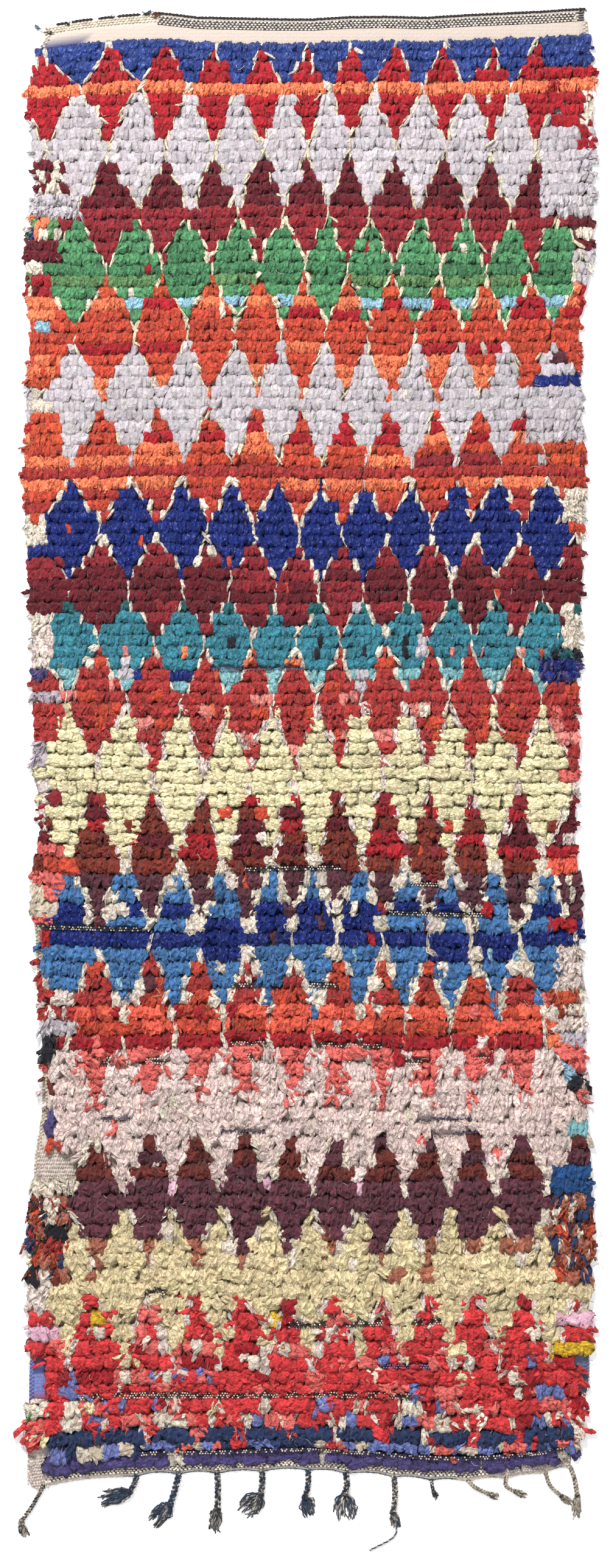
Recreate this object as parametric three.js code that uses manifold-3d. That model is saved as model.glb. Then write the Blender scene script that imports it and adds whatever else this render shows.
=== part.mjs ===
// Boujad runner: a hand-knotted rag-pile rug lying flat on the floor, face up.
// It is one woven cloth with rows of rag tufts, a dark edging cord twined along its upper end,
// and braided warp ends along its lower end. Millimetres, +Z up, the upper end towards +Y.
import * as THREE from "three";
import { mergeVertices } from "three/addons/utils/BufferGeometryUtils.js";
import Module from "manifold-3d";

const wasm = await Module();
wasm.setup();

// Driving dimensions
const CLOTH_LENGTH = 2630;
const WEAVE_THICK = 3.5;
const UPPER_WEAVE = 32;
const LOWER_WEAVE = 18;
const COLUMN_WIDTH = 70;
const RIM_SLOPE = 16;
const RIM_THICK = 3;
const LOCK_SHORT = 3;
const LOCK_LONG = 13;
const LUMP = 0.16;
const DRIFT_ACROSS = 16;
const CREST_PLACE = 0.68;
const BOW_FADE = 260;
const ROW_WAVE = 3;
const PIECE_GAP = 0.4;
const EDGING = { wide: 3, narrow: 2.1, turn: Math.PI / 3, sides: 6, steps: 4 };
const STRIP = { width: 6, thick: 3 };
const ROOT_DEPTH = 4.5;
const RIDGE_SHARE = 0.6;
const PLAIT_STEP = 8;
const PLAIT = { low: 0.86, high: 1.12, knot: 1.35, flatten: 0.72 };
const LOCK = { share: 0.38, tip: 0.28, flatten: 0.9, uneven: 0.22 };

// Half widths of the cloth on either side of its centre line, by distance from the upper end.
const SIDES = [
  { down: 20, left: 488, right: 508 },
  { down: 130, left: 503, right: 515 },
  { down: 300, left: 487, right: 515 },
  { down: 430, left: 507, right: 514 },
  { down: 570, left: 497, right: 491 },
  { down: 690, left: 505, right: 493 },
  { down: 815, left: 509, right: 503 },
  { down: 960, left: 502, right: 496 },
  { down: 1190, left: 494, right: 487 },
  { down: 1330, left: 488, right: 489 },
  { down: 1450, left: 478, right: 482 },
  { down: 1575, left: 496, right: 494 },
  { down: 1700, left: 488, right: 492 },
  { down: 1830, left: 475, right: 498 },
  { down: 1950, left: 477, right: 505 },
  { down: 2060, left: 492, right: 508 },
  { down: 2190, left: 501, right: 516 },
  { down: 2320, left: 496, right: 508 },
  { down: 2450, left: 501, right: 511 },
  { down: 2590, left: 504, right: 492 },
];

// How far each end bows out beyond a straight cut, by place across.
const ENDS = [
  { across: -490, upper: -22, lower: 24 },
  { across: -433, upper: -9, lower: 13 },
  { across: -268, upper: 5, lower: -1 },
  { across: -180, upper: -4, lower: -3 },
  { across: -5, upper: -7, lower: -9 },
  { across: 117, upper: -1, lower: 0 },
  { across: 205, upper: -4, lower: 8 },
  { across: 293, upper: 1, lower: 12 },
  { across: 381, upper: 5, lower: 3 },
  { across: 500, upper: 13, lower: -16 },
];

// The knotted rows: close and low in the upper half, wider apart and shaggier further down.
const PILE_ZONES = [
  { from: UPPER_WEAVE, pitch: 20.4, crest: 13, crease: 6.5 },
  { from: 1215, pitch: 23, crest: 15.5, crease: 7 },
  { from: 1510, pitch: 26.4, crest: 19, crease: 8 },
];

// Single rag ends that stand out from the side rims.
const LONG_LOCKS = [
  { side: "left", down: 365, reach: 21 },
  { side: "left", down: 1040, reach: 24 },
  { side: "left", down: 1305, reach: 20 },
  { side: "left", down: 1640, reach: 25 },
  { side: "right", down: 820, reach: 18 },
  { side: "right", down: 2280, reach: 20 },
  { side: "right", down: 2480, reach: 18 },
];

// Braided warp ends. Each runs from its root through a bend to its knot, and its tail of loose
// locks points on from the knot. Places are offsets from the root: x across, y away from the cloth.
const BRAIDS = [
  { root: -474, bend: [-22, 36], knot: [-41, 62], tail: [8, 30], thick: 8, locks: 3, fan: 8 },
  { root: -306, bend: [-5, 13], knot: [-13, 27], tail: [-52, 20], thick: 11, locks: 6, fan: 16 },
  { root: -230, bend: [-8, 28], knot: [-16, 54], tail: [-34, 36], thick: 12, locks: 7, fan: 15 },
  { root: -161, bend: [1, 32], knot: [0, 64], tail: [-9, 42], thick: 12, locks: 6, fan: 11 },
  { root: -80, bend: [0, 20], knot: [-3, 41], tail: [-34, 38], thick: 12, locks: 7, fan: 17 },
  { root: 3, bend: [0, 24], knot: [-6, 48], tail: [14, 34], thick: 11, locks: 6, fan: 13 },
  { root: 71, bend: [2, 18], knot: [-2, 37], tail: [0, 48], thick: 12, locks: 7, fan: 20 },
  { root: 158, bend: [2, 32], knot: [-2, 64], tail: [8, 28], thick: 11, locks: 5, fan: 8 },
  { root: 225, bend: [2, 10], knot: [5, 21], tail: [6, 12], thick: 7, locks: 3, fan: 5 },
  { root: 290, bend: [16, 12], knot: [38, 22], tail: [20, 8], thick: 8, locks: 3, fan: 5 },
  { root: 361, bend: [-1, 13], knot: [17, 24], tail: [18, 9], thick: 8, locks: 3, fan: 5 },
  { root: 431, bend: [9, 22], knot: [30, 42], tail: [20, 16], thick: 8, locks: 3, fan: 6 },
  { root: 476, bend: [8, 20], knot: [13, 50], tail: [-2, 42], thick: 9, locks: 3, fan: 7 },
];
// The long thin twist that runs on from the knot of one braid.
const TWIST = { braid: 7, bend: [4, 40], tip: [-42, 68], thick: 5 };

const COLOURS = {
  rag_pile: { colour: "#a4503f", roughness: 0.95 },
  edging: { colour: "#2c211c", roughness: 0.9 },
  fringe: { colour: "#3a4a66", roughness: 0.92 },
};

// A repeatable uneven value from -1 to 1 for a pair of whole numbers.
function uneven(a, b) {
  let n = Math.imul(a + 1013, 374761393) ^ Math.imul(b + 2029, 668265263);
  n = Math.imul(n ^ (n >>> 13), 1274126177);
  return ((n ^ (n >>> 16)) >>> 0) / 2147483647.5 - 1;
}

// The value of one column of a table at a place between its rows, eased from row to row.
function fromTable(table, key, at, column) {
  const above = table.findIndex((row) => row[key] > at);
  if (above === 0) return table[0][column];
  if (above < 0) return table[table.length - 1][column];
  const [low, high] = [table[above - 1], table[above]];
  const share = (at - low[key]) / (high[key] - low[key]);
  return THREE.MathUtils.lerp(low[column], high[column], THREE.MathUtils.smoothstep(share, 0, 1));
}

// The places across the cloth that each cross line is drawn through: both rims, the foot of
// each rim's slope, and even columns between them, as shares of the width.
function columnShares() {
  const width = SIDES[0].left + SIDES[0].right;
  const columns = Math.round((width - 2 * RIM_SLOPE) / COLUMN_WIDTH);
  const rim = RIM_SLOPE / width;
  const inner = Array.from({ length: columns + 1 }, (_, c) => rim + ((1 - 2 * rim) * c) / columns);
  return [0, ...inner, 1];
}

// The lines that cross the cloth from side to side: its ends, the weave's limits, and a crease
// and a crest for each row of tufts.
function crossLines() {
  const weave = { height: WEAVE_THICK, rim: 0, ripple: 0 };
  const lines = [{ down: 0, ...weave }, { down: UPPER_WEAVE - 2, ...weave }];
  const end = CLOTH_LENGTH - LOWER_WEAVE;
  let start = UPPER_WEAVE;
  for (let row = 0; start < end - PILE_ZONES[0].pitch / 2; row += 1) {
    const zone = PILE_ZONES.filter((z) => z.from <= start).pop();
    const pitch = Math.min(zone.pitch, end - start);
    const rim = LOCK_SHORT + ((LOCK_LONG - LOCK_SHORT) * (uneven(row, 7) + 1)) / 2;
    lines.push({ down: start, height: zone.crease, rim: 0, ripple: 1 });
    lines.push({ down: start + pitch * CREST_PLACE, height: zone.crest, rim, ripple: 3 });
    start += pitch;
  }
  lines.push({ down: start + 2, ...weave }, { down: CLOTH_LENGTH, ...weave });
  return lines;
}

// The reach of the rag ends at one end of a cross line.
function lockReach(line, side) {
  if (!line.rim) return 0;
  const long = LONG_LOCKS.find((l) => l.side === side && Math.abs(l.down - line.down) < 10);
  return long ? long.reach : line.rim * (side === "left" ? 1 : 0.85);
}

// Where a cross line meets a column, before its height is given. The ends' bow fades inwards.
function placeOn(line, share) {
  const left = -fromTable(SIDES, "down", line.down, "left") - lockReach(line, "left");
  const right = fromTable(SIDES, "down", line.down, "right") + lockReach(line, "right");
  const x = THREE.MathUtils.lerp(left, right, share);
  const nearUpper = Math.max(0, 1 - line.down / BOW_FADE);
  const nearLower = Math.max(0, 1 - (CLOTH_LENGTH - line.down) / BOW_FADE);
  const calm = (1 - nearUpper) * (1 - nearLower);
  const wave = ROW_WAVE * Math.sin(x / 95 + line.down / 210) * calm;
  const upper = fromTable(ENDS, "across", x, "upper") * nearUpper;
  const lower = fromTable(ENDS, "across", x, "lower") * nearLower;
  return { x, y: CLOTH_LENGTH / 2 - line.down + upper - lower + wave };
}

// The cloth with its pile: a lumpy slab with a flat underside, thin woven ends and ragged rims.
function runnerBody() {
  const lines = crossLines();
  const shares = columnShares();
  const last = shares.length - 1;
  const points = [];
  lines.forEach((line, i) => {
    shares.forEach((share, j) => {
      const edge = j === 0 || j === last;
      const inner = !edge && j > 1 && j < last - 1 && line.ripple > 0;
      const { x, y } = placeOn(line, share);
      const rise = line.height * (1 + (line.ripple ? LUMP * uneven(i, j) : 0));
      points.push(
        x + (inner ? DRIFT_ACROSS * uneven(i + 500, j) : 0),
        y + (inner ? line.ripple * uneven(i, j + 90) : 0),
        edge ? Math.min(RIM_THICK, line.height) : rise,
      );
    });
  });
  const top = (i, j) => i * shares.length + j;
  const faces = [];
  for (let i = 0; i + 1 < lines.length; i += 1) {
    for (let j = 0; j < last; j += 1) {
      const [a, b, c, d] = [top(i, j), top(i + 1, j), top(i + 1, j + 1), top(i, j + 1)];
      faces.push(...((i + j) % 2 ? [a, b, c, a, c, d] : [a, b, d, b, c, d]));
    }
  }
  closeBelow(points, faces, rimLoop(lines.length, last, top));
  return solidGeometry(points, faces);
}

// The vertices around the slab, anticlockwise as seen from above.
function rimLoop(lineCount, last, top) {
  const loop = [];
  for (let i = 0; i < lineCount; i += 1) loop.push(top(i, 0));
  for (let j = 1; j <= last; j += 1) loop.push(top(lineCount - 1, j));
  for (let i = lineCount - 2; i >= 0; i -= 1) loop.push(top(i, last));
  for (let j = last - 1; j > 0; j -= 1) loop.push(top(0, j));
  return loop;
}

// Adds upright walls from a loop down to the floor and one flat face across them.
function closeBelow(points, faces, loop) {
  const first = points.length / 3;
  const outline = loop.map((v) => new THREE.Vector2(points[3 * v], points[3 * v + 1]));
  outline.forEach((p) => points.push(p.x, p.y, 0));
  loop.forEach((v, k) => {
    const next = (k + 1) % loop.length;
    faces.push(v, first + k, first + next, v, first + next, loop[next]);
  });
  const turn = THREE.ShapeUtils.area(outline) > 0;
  THREE.ShapeUtils.triangulateShape(outline, []).forEach(([a, b, c]) => {
    faces.push(first + a, first + (turn ? c : b), first + (turn ? b : c));
  });
}

function solidGeometry(points, faces) {
  const geometry = new THREE.BufferGeometry();
  geometry.setAttribute("position", new THREE.Float32BufferAttribute(points, 3));
  geometry.setIndex(faces);
  return geometry;
}

// The corners of the cloth's upper or lower edge, for what is worked along it.
function endRun(end) {
  const lines = crossLines();
  const line = end === "upper" ? lines[0] : lines[lines.length - 1];
  return columnShares().map((share) => placeOn(line, share));
}

// A closed skin through rings of points that all have the same count.
function skin(rings) {
  const sides = rings[0].length;
  const points = rings.flat().flat();
  const faces = [];
  for (let r = 0; r + 1 < rings.length; r += 1) {
    for (let s = 0; s < sides; s += 1) {
      const t = (s + 1) % sides;
      const [a, b] = [r * sides + s, r * sides + t];
      faces.push(a, b, b + sides, a, b + sides, a + sides);
    }
  }
  const end = (rings.length - 1) * sides;
  for (let s = 1; s + 1 < sides; s += 1) {
    faces.push(0, s + 1, s);
    faces.push(end, end + s, end + s + 1);
  }
  return solidGeometry(points, faces);
}

// The twined edging: an oval section that turns as it runs along the upper end.
function edgingCord() {
  const run = endRun("upper");
  const stations = [];
  run.slice(1).forEach((to, k) => {
    const steps = Math.max(1, Math.round((EDGING.steps * (to.x - run[k].x)) / COLUMN_WIDTH));
    for (let s = 0; s < steps; s += 1) {
      stations.push(new THREE.Vector2(run[k].x, run[k].y).lerp(to, s / steps));
    }
  });
  stations.push(run[run.length - 1]);
  const rings = stations.map(({ x, y }, k) => {
    const centre = new THREE.Vector2(y + EDGING.wide + 2 * PIECE_GAP, EDGING.wide);
    return Array.from({ length: EDGING.sides }, (_, s) => {
      const around = (2 * Math.PI * s) / EDGING.sides;
      const oval = new THREE.Vector2(
        EDGING.wide * Math.cos(around),
        EDGING.narrow * Math.sin(around),
      );
      const placed = oval.rotateAround(new THREE.Vector2(), EDGING.turn * k).add(centre);
      return [x, placed.x, placed.y];
    });
  });
  return skin(rings);
}

// The narrow strip just outside the lower end that holds the roots of the braids.
function rootStrip() {
  const rings = endRun("lower").map(({ x, y }) => {
    const near = y - PIECE_GAP;
    const far = near - STRIP.width;
    return [
      [x, far, 0],
      [x, near, 0],
      [x, near, STRIP.thick],
      [x, far, STRIP.thick],
    ];
  });
  return skin(rings);
}

// A strand that lies on the floor with a flat base: three or four sides, by its section.
function strand(path, widths, heights, sides) {
  const rings = path.map((p, k) => {
    const ahead = path[Math.min(k + 1, path.length - 1)];
    const behind = path[Math.max(k - 1, 0)];
    const along = new THREE.Vector2(ahead.x - behind.x, ahead.y - behind.y).normalize();
    const half = widths[k] / 2;
    const [sx, sy] = [-along.y * half, along.x * half];
    const base = [
      [p.x + sx, p.y + sy, 0],
      [p.x - sx, p.y - sy, 0],
    ];
    const flatTop = [
      [p.x - sx * RIDGE_SHARE, p.y - sy * RIDGE_SHARE, heights[k]],
      [p.x + sx * RIDGE_SHARE, p.y + sy * RIDGE_SHARE, heights[k]],
    ];
    const roof = sides === 3 ? [[p.x, p.y, heights[k]]] : flatTop;
    return [...base, ...roof].reverse();
  });
  return skin(rings);
}

// Points along a smooth curve through a few places, about one step apart.
function smoothPath(places, step) {
  const curve = new THREE.CatmullRomCurve3(places);
  return curve.getSpacedPoints(Math.max(2, Math.round(curve.getLength() / step)));
}

// One loose lock of a braid's tail: spread runs from -1 on one side of the fan to 1 on the other.
function tailLock(braid, spread, reach, at) {
  const along = new THREE.Vector2(...braid.tail);
  const aside = new THREE.Vector2(-along.y, along.x).setLength(spread * braid.fan);
  const start = new THREE.Vector2(...braid.knot).addScaledVector(aside, 0.3);
  const middle = start.clone().addScaledVector(along, 0.5 * reach).addScaledVector(aside, 0.5);
  const tip = start.clone().addScaledVector(along, reach).addScaledVector(aside, 0.7);
  const path = smoothPath([at(start), at(middle), at(tip)], along.length() / 2);
  const thin = path.map((_, n) =>
    THREE.MathUtils.lerp(1, LOCK.tip, n / (path.length - 1)) * braid.thick * LOCK.share,
  );
  return strand(path, thin, thin.map((w) => w * LOCK.flatten), 3);
}

// The long thin twist that runs on past a knot.
function tailTwist(braid, at) {
  const knot = new THREE.Vector2(...braid.knot);
  const places = [new THREE.Vector2(), new THREE.Vector2(...TWIST.bend), new THREE.Vector2(...TWIST.tip)];
  const path = smoothPath(places.map((p) => at(p.add(knot))), PLAIT_STEP);
  const thin = path.map((_, k) => TWIST.thick * (k % 2 ? PLAIT.high : PLAIT.low));
  return strand(path, thin, thin.map((w) => w * PLAIT.flatten), 4);
}

// One braid with its knot and its tail of loose locks.
function braidParts(braid, index, edgeY) {
  const at = ({ x, y }) => new THREE.Vector3(braid.root + x, edgeY - y, 0);
  const root = new THREE.Vector2(0, ROOT_DEPTH);
  const places = [root, new THREE.Vector2(...braid.bend), new THREE.Vector2(...braid.knot)];
  const path = smoothPath(places.map(at), PLAIT_STEP);
  const plait = path.map((_, k) => braid.thick * (k % 2 ? PLAIT.high : PLAIT.low));
  plait[plait.length - 1] = braid.thick * PLAIT.knot;
  const parts = [strand(path, plait, plait.map((w) => w * PLAIT.flatten), 4)];
  for (let k = 0; k < braid.locks; k += 1) {
    const spread = (2 * k) / (braid.locks - 1) - 1;
    parts.push(tailLock(braid, spread, 1 - LOCK.uneven * (1 + uneven(index, k + 40)), at));
  }
  if (TWIST.braid === index) parts.push(tailTwist(braid, at));
  return parts;
}

function toSolid(geometry) {
  const merged = mergeVertices(geometry, 1e-3);
  return new wasm.Manifold(
    new wasm.Mesh({
      numProp: 3,
      vertProperties: merged.attributes.position.array,
      triVerts: new Uint32Array(merged.index.array),
    }),
  );
}

function toGeometry(solid) {
  const mesh = solid.getMesh();
  const geometry = new THREE.BufferGeometry();
  geometry.setAttribute("position", new THREE.BufferAttribute(mesh.vertProperties, 3));
  geometry.setIndex(new THREE.BufferAttribute(mesh.triVerts, 1));
  return geometry;
}

// The braided warp ends, fused into their strip as one solid.
function braidedFringe() {
  const run = endRun("lower");
  let solid = toSolid(rootStrip());
  BRAIDS.forEach((braid, index) => {
    const after = run.findIndex((p) => p.x > braid.root);
    const [a, b] = [run[after - 1], run[after]];
    const edge = THREE.MathUtils.mapLinear(braid.root, a.x, b.x, a.y, b.y) - PIECE_GAP;
    braidParts(braid, index, edge).forEach((part) => {
      solid = solid.add(toSolid(part));
    });
  });
  return toGeometry(solid);
}

function piece(name, geometry, finish) {
  const flat = geometry.toNonIndexed();
  flat.computeVertexNormals();
  const material = new THREE.MeshStandardMaterial({
    color: finish.colour,
    roughness: finish.roughness,
    metalness: 0,
    flatShading: true,
  });
  const mesh = new THREE.Mesh(flat, material);
  mesh.name = name;
  return mesh;
}

const runner = new THREE.Group();
runner.add(piece("runner_body", runnerBody(), COLOURS.rag_pile));
runner.add(piece("edging_cord", edgingCord(), COLOURS.edging));
runner.add(piece("braided_fringe", braidedFringe(), COLOURS.fringe));

// The origin is at the middle of the whole runner, on the floor.
const reach = new THREE.Box3().setFromObject(runner);
const middle = reach.getCenter(new THREE.Vector3());
runner.position.set(-middle.x, -middle.y, -reach.min.z);

export default runner;
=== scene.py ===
"""Boujad runner: the woven ground, rag pile, twined edging and braided warp ends of a hand-knotted rug."""

import math

import bpy
import numpy as np
from bpy.props import FloatProperty, FloatVectorProperty, IntProperty, PointerProperty
from bpy.types import Operator, Panel, PropertyGroup
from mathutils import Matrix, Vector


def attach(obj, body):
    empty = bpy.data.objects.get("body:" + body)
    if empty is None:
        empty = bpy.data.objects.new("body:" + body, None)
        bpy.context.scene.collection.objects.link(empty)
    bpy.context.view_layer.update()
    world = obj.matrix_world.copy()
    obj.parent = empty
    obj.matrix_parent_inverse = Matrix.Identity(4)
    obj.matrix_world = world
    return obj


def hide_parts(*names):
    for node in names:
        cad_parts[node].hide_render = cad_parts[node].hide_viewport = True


bl_info = {
    "name": "Boujad runner",
    "version": (1, 0, 0),
    "blender": (4, 5, 0),
    "location": "3D View > Sidebar > Runner",
    "description": "Builds a hand-knotted rag-pile runner around its packed solids",
    "category": "Object",
}

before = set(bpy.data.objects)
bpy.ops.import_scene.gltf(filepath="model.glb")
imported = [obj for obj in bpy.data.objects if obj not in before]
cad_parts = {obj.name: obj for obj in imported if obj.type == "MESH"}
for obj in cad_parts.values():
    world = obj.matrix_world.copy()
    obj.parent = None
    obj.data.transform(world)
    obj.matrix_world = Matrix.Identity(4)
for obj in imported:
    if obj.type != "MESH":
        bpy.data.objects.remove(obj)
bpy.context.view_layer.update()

MM = 0.001
HALF_TURN = math.pi
FULL_TURN = 2 * math.pi

# Places on the cloth are in millimetres: across, from its centre line, and down, from its upper end.
CENTRE_LINE = -3.5

# How far across the side rims begin, how far down the bow of an end dies away, and how thick the
# weave is.
RIM_FROM = 470
BOW_FADE = 260
WEAVE_THICK = 3.0

# Rows wave gently over the cloth, and its lower end is drawn up between one braid and the next.
ROW_WAVE = 3
WAVE_ACROSS = 95
WAVE_DOWN = 210
SCALLOP = 4.5
SCALLOP_FADE = 40

# How far the edge of a lozenge strays in one row, and how much wider than its knot a rag end is.
RAGGED = 3.5
KNOT_SPREAD = 1.5

# Where the middle of a row is within it, how steeply rag ends lean along a zigzag, how near to it
# they do so, and how near to the side rims the pile gets lower.
MIDDLE = 0.55
SLOPE = 0.45
LEAN_REACH = 14
RIM_FADE = 14

# The band of the knots that outline a zigzag, which belong to none.
OUTLINING = -1

# The least width of a run that has a ragged edge, and of one that is tied at all. The least width
# and length of a rag end, and how far its height is pressed down.
RUN_RAGGED = 12
RUN_LEAST = 2.5
RAG_NARROWEST = 4.2
RAG_SHORTEST = 17
PRESSED = 0.86

# The last row, the hem, beside the others: how much longer and lower its rag ends are, and how far
# further up they start.
HEM_LONG = 1.22
HEM_LOW = 0.55
HEM_RISE = 7

# How much shorter the rag ends over a line of bare weave are, and how much longer those that
# outline a zigzag are, with how much wider than their knots these are in the close rows.
OVER_WEAVE = 0.6
OUTLINE_LONG = 1.1
OUTLINE_SPREAD = 1.05

# Faces of the ground across and along it.
GROUND_FACES = (44, 132)

# The wrapped side edges: how far apart the floats are along them, how far inside the edge the
# outer line is and the inner one from that, the size of a float, its level and its lean.
WRAP_STEP = 6.5
WRAP_INSET = 2.2
WRAP_LINES = 4.4
WRAP_FLOAT = (7.0, 5.0, 4.6)
WRAP_LEVEL = 2.9
WRAP_LEAN = 0.5

# The edging cord: how far beyond the cloth's upper end it lies, how high, and how far its plies
# swing around its middle.
EDGING_BEYOND = 3.8
EDGING_LEVEL = 3.0
EDGING_SWING = 1.3

# A braid beside the thickness that it shows: how thick it is plaited, how long one turn of a strand
# is, how thick a strand is beside the braid, and how far it swings to each side.
BRAID_THICK = 1.15
BRAID_TURN = 2.1
STRAND_THICK = 0.21
STRAND_SWING = 0.27

# The thickness of a full braid, and how many times the panel's number of yarns its tail has.
FULL_BRAID = 11
TAIL_YARNS = 2.5

# Where the loose threads lie: down the lower and the upper part of the cloth, and across it.
THREADS_LOWER = (1500, 2600)
THREADS_UPPER = (60, 1500)
THREADS_ACROSS = (-480, 490)

# Yarns lie no lower than this.
YARN_FLOOR = 0.15

# The camera's frame, in millimetres on the floor and in pixels.
FRAME_WIDTH = 1107.7
FRAME_MIDDLE = -9.8
FRAME_PIXELS = (1007, 2576)
CAMERA_LENS = 85
CAMERA_SENSOR = 36


def named(columns, *rows):
    """The rows of a table, each by the names of its columns. A short row leaves out the last ones."""
    return [dict(zip(columns.split(), row)) for row in rows]


def stops(*rows):
    """The rags of a band from a place down the cloth on, with the width of its runs if it has many."""
    return named("down rags group", *rows)


# The knotted rows: close and low in the upper half, wider apart and shaggier further down.
PILE_ZONES = named(
    "start pitch crest knot form",
    (40, 11.4, 12.0, 8.6, "short"),
    (51.4, 20.4, 12.5, 8.6, "short"),
    (1215, 23.0, 14.5, 11.0, "long"),
    (1510, 26.4, 17.0, 13.0, "long"),
)
PILE_END = 2612

# Centres of the lozenge columns across the cloth at three places down it. The lozenges of every
# other band stand on these, and those of the bands between them stand midway.
COLUMN_PLACES = (231, 1122, 2288)
COLUMNS = (
    (-532, -553, -552),
    (-411, -432, -431),
    (-303, -324, -333),
    (-210, -225, -244),
    (-122, -141, -158),
    (-37, -57, -74),
    (41, 20, 7),
    (116, 100, 95),
    (205, 182, 174),
    (294, 258, 260),
    (372, 336, 346),
    (458, 423, 436),
    (568, 533, 546),
)

# The zigzag between each band of lozenges and the next: how far down its peaks and dips are, how
# hollow its slopes are, and the rag ends of another colour that outline it.
ZIGZAGS = named(
    "peak dip bend edging wide share",
    (44, 134, 1.0, "cream", 6, 0.75),
    (112, 227, 1.0, "ecru", 5.5, 0.85),
    (244, 343, 1.0, "ecru", 6, 0.75),
    (356, 443, 1.0, "ecru", 7, 0.85),
    (462, 556, 1.0, "ecru", 8, 0.6),
    (578, 680, 1.0, "ecru", 5, 0.35),
    (700, 805, 1.0, "ecru", 5, 0.4),
    (829, 916, 1.0, "cream", 9, 0.8),
    (939, 1012, 1.0, "cream", 9, 0.8),
    (1045, 1119, 1.0, "cream", 8, 0.7),
    (1135, 1223, 1.1, "cream", 9, 0.75),
    (1239, 1355, 1.1, "pink_cream", 8, 0.55),
    (1384, 1534, 1.1, "pink_cream", 9, 0.5),
    (1512, 1649, 1.0, "cream", 15, 0.85),
    (1678, 1806, 1.1, "cream", 12, 0.75),
    (1846, 1961, 2.0, "salmon", 7, 0.25),
    (2004, 2125, 1.2, "cream", 9, 0.45),
    (2149, 2260, 1.3, "cream", 9, 0.5),
    (2308, 2436, 1.5, "pink_cream", 10, 0.5),
    (2497, 2580, 2.0, "cream", 9, 0.5),
)

# The rags of each band. Where several are named, each run of knots takes one of them.
BANDS = (
    stops((0, "royal")),
    stops((0, "crimson"), (113, "orange"), (133, "crimson")),
    stops((0, "cool_white")),
    stops((0, "maroon"), (337, "garnet")),
    stops(
        (0, "green green leaf"),
        (460, "olive leaf"),
        (480, "green"),
        (495, "pale_blue pale_blue green"),
        (517, "green"),
        (538, "pale_blue green"),
    ),
    stops(
        (0, "rust"),
        (495, "orange orange crimson"),
        (517, "coral crimson coral"),
        (538, "coral"),
        (578, "coral orange crimson coral"),
        (640, "orange coral"),
    ),
    stops((0, "cool_white")),
    stops(
        (0, "coral crimson"),
        (742, "crimson coral orange"),
        (765, "orange coral"),
        (785, "coral garnet orange"),
        (806, "brick"),
        (829, "orange orange coral"),
        (850, "coral brick"),
    ),
    stops((0, "navy")),
    stops((0, "garnet"), (995, "maroon maroon garnet", 70)),
    stops((0, "dark_teal"), (1077, "teal"), (1165, "pale_teal")),
    stops(
        (0, "coral brick"),
        (1172, "brick"),
        (1190, "brick brick brick brick brick brick coral rose", 30),
    ),
    stops((0, "straw")),
    stops(
        (0, "crimson garnet"),
        (1430, "russet crimson maroon"),
        (1480, "maroon crimson russet"),
        (1507, "russet"),
        (1528, "plum"),
        (1590, "plum plum garnet"),
    ),
    stops(
        (0, "mid_blue"),
        (1603, "navy navy mid_blue"),
        (1626, "mid_blue navy"),
        (1656, "navy"),
        (1680, "mid_blue navy"),
        (1706, "mid_blue"),
    ),
    stops(
        (0, "brick brick coral", 40),
        (1785, "orange_red orange_red coral", 40),
        (1839, "crimson"),
        (1866, "salmon"),
    ),
    stops((0, "pink"), (2088, "pink_fluff pink")),
    stops((0, "brown plum"), (2085, "aubergine"), (2205, "terracotta aubergine terracotta", 60)),
    stops((0, "pale_straw")),
    stops((0, "red red red red red crimson salmon", 40)),
    stops(
        (0, "red lilac red salmon cream", 25),
        (2540, "night"),
        (2562, "lilac cream lilac salmon lilac beige night", 18),
    ),
)
LAST_ROW = dict(down=2584, rags="purple " * 14 + "cream red", group=22)
LAST_BAND = 20

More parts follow.
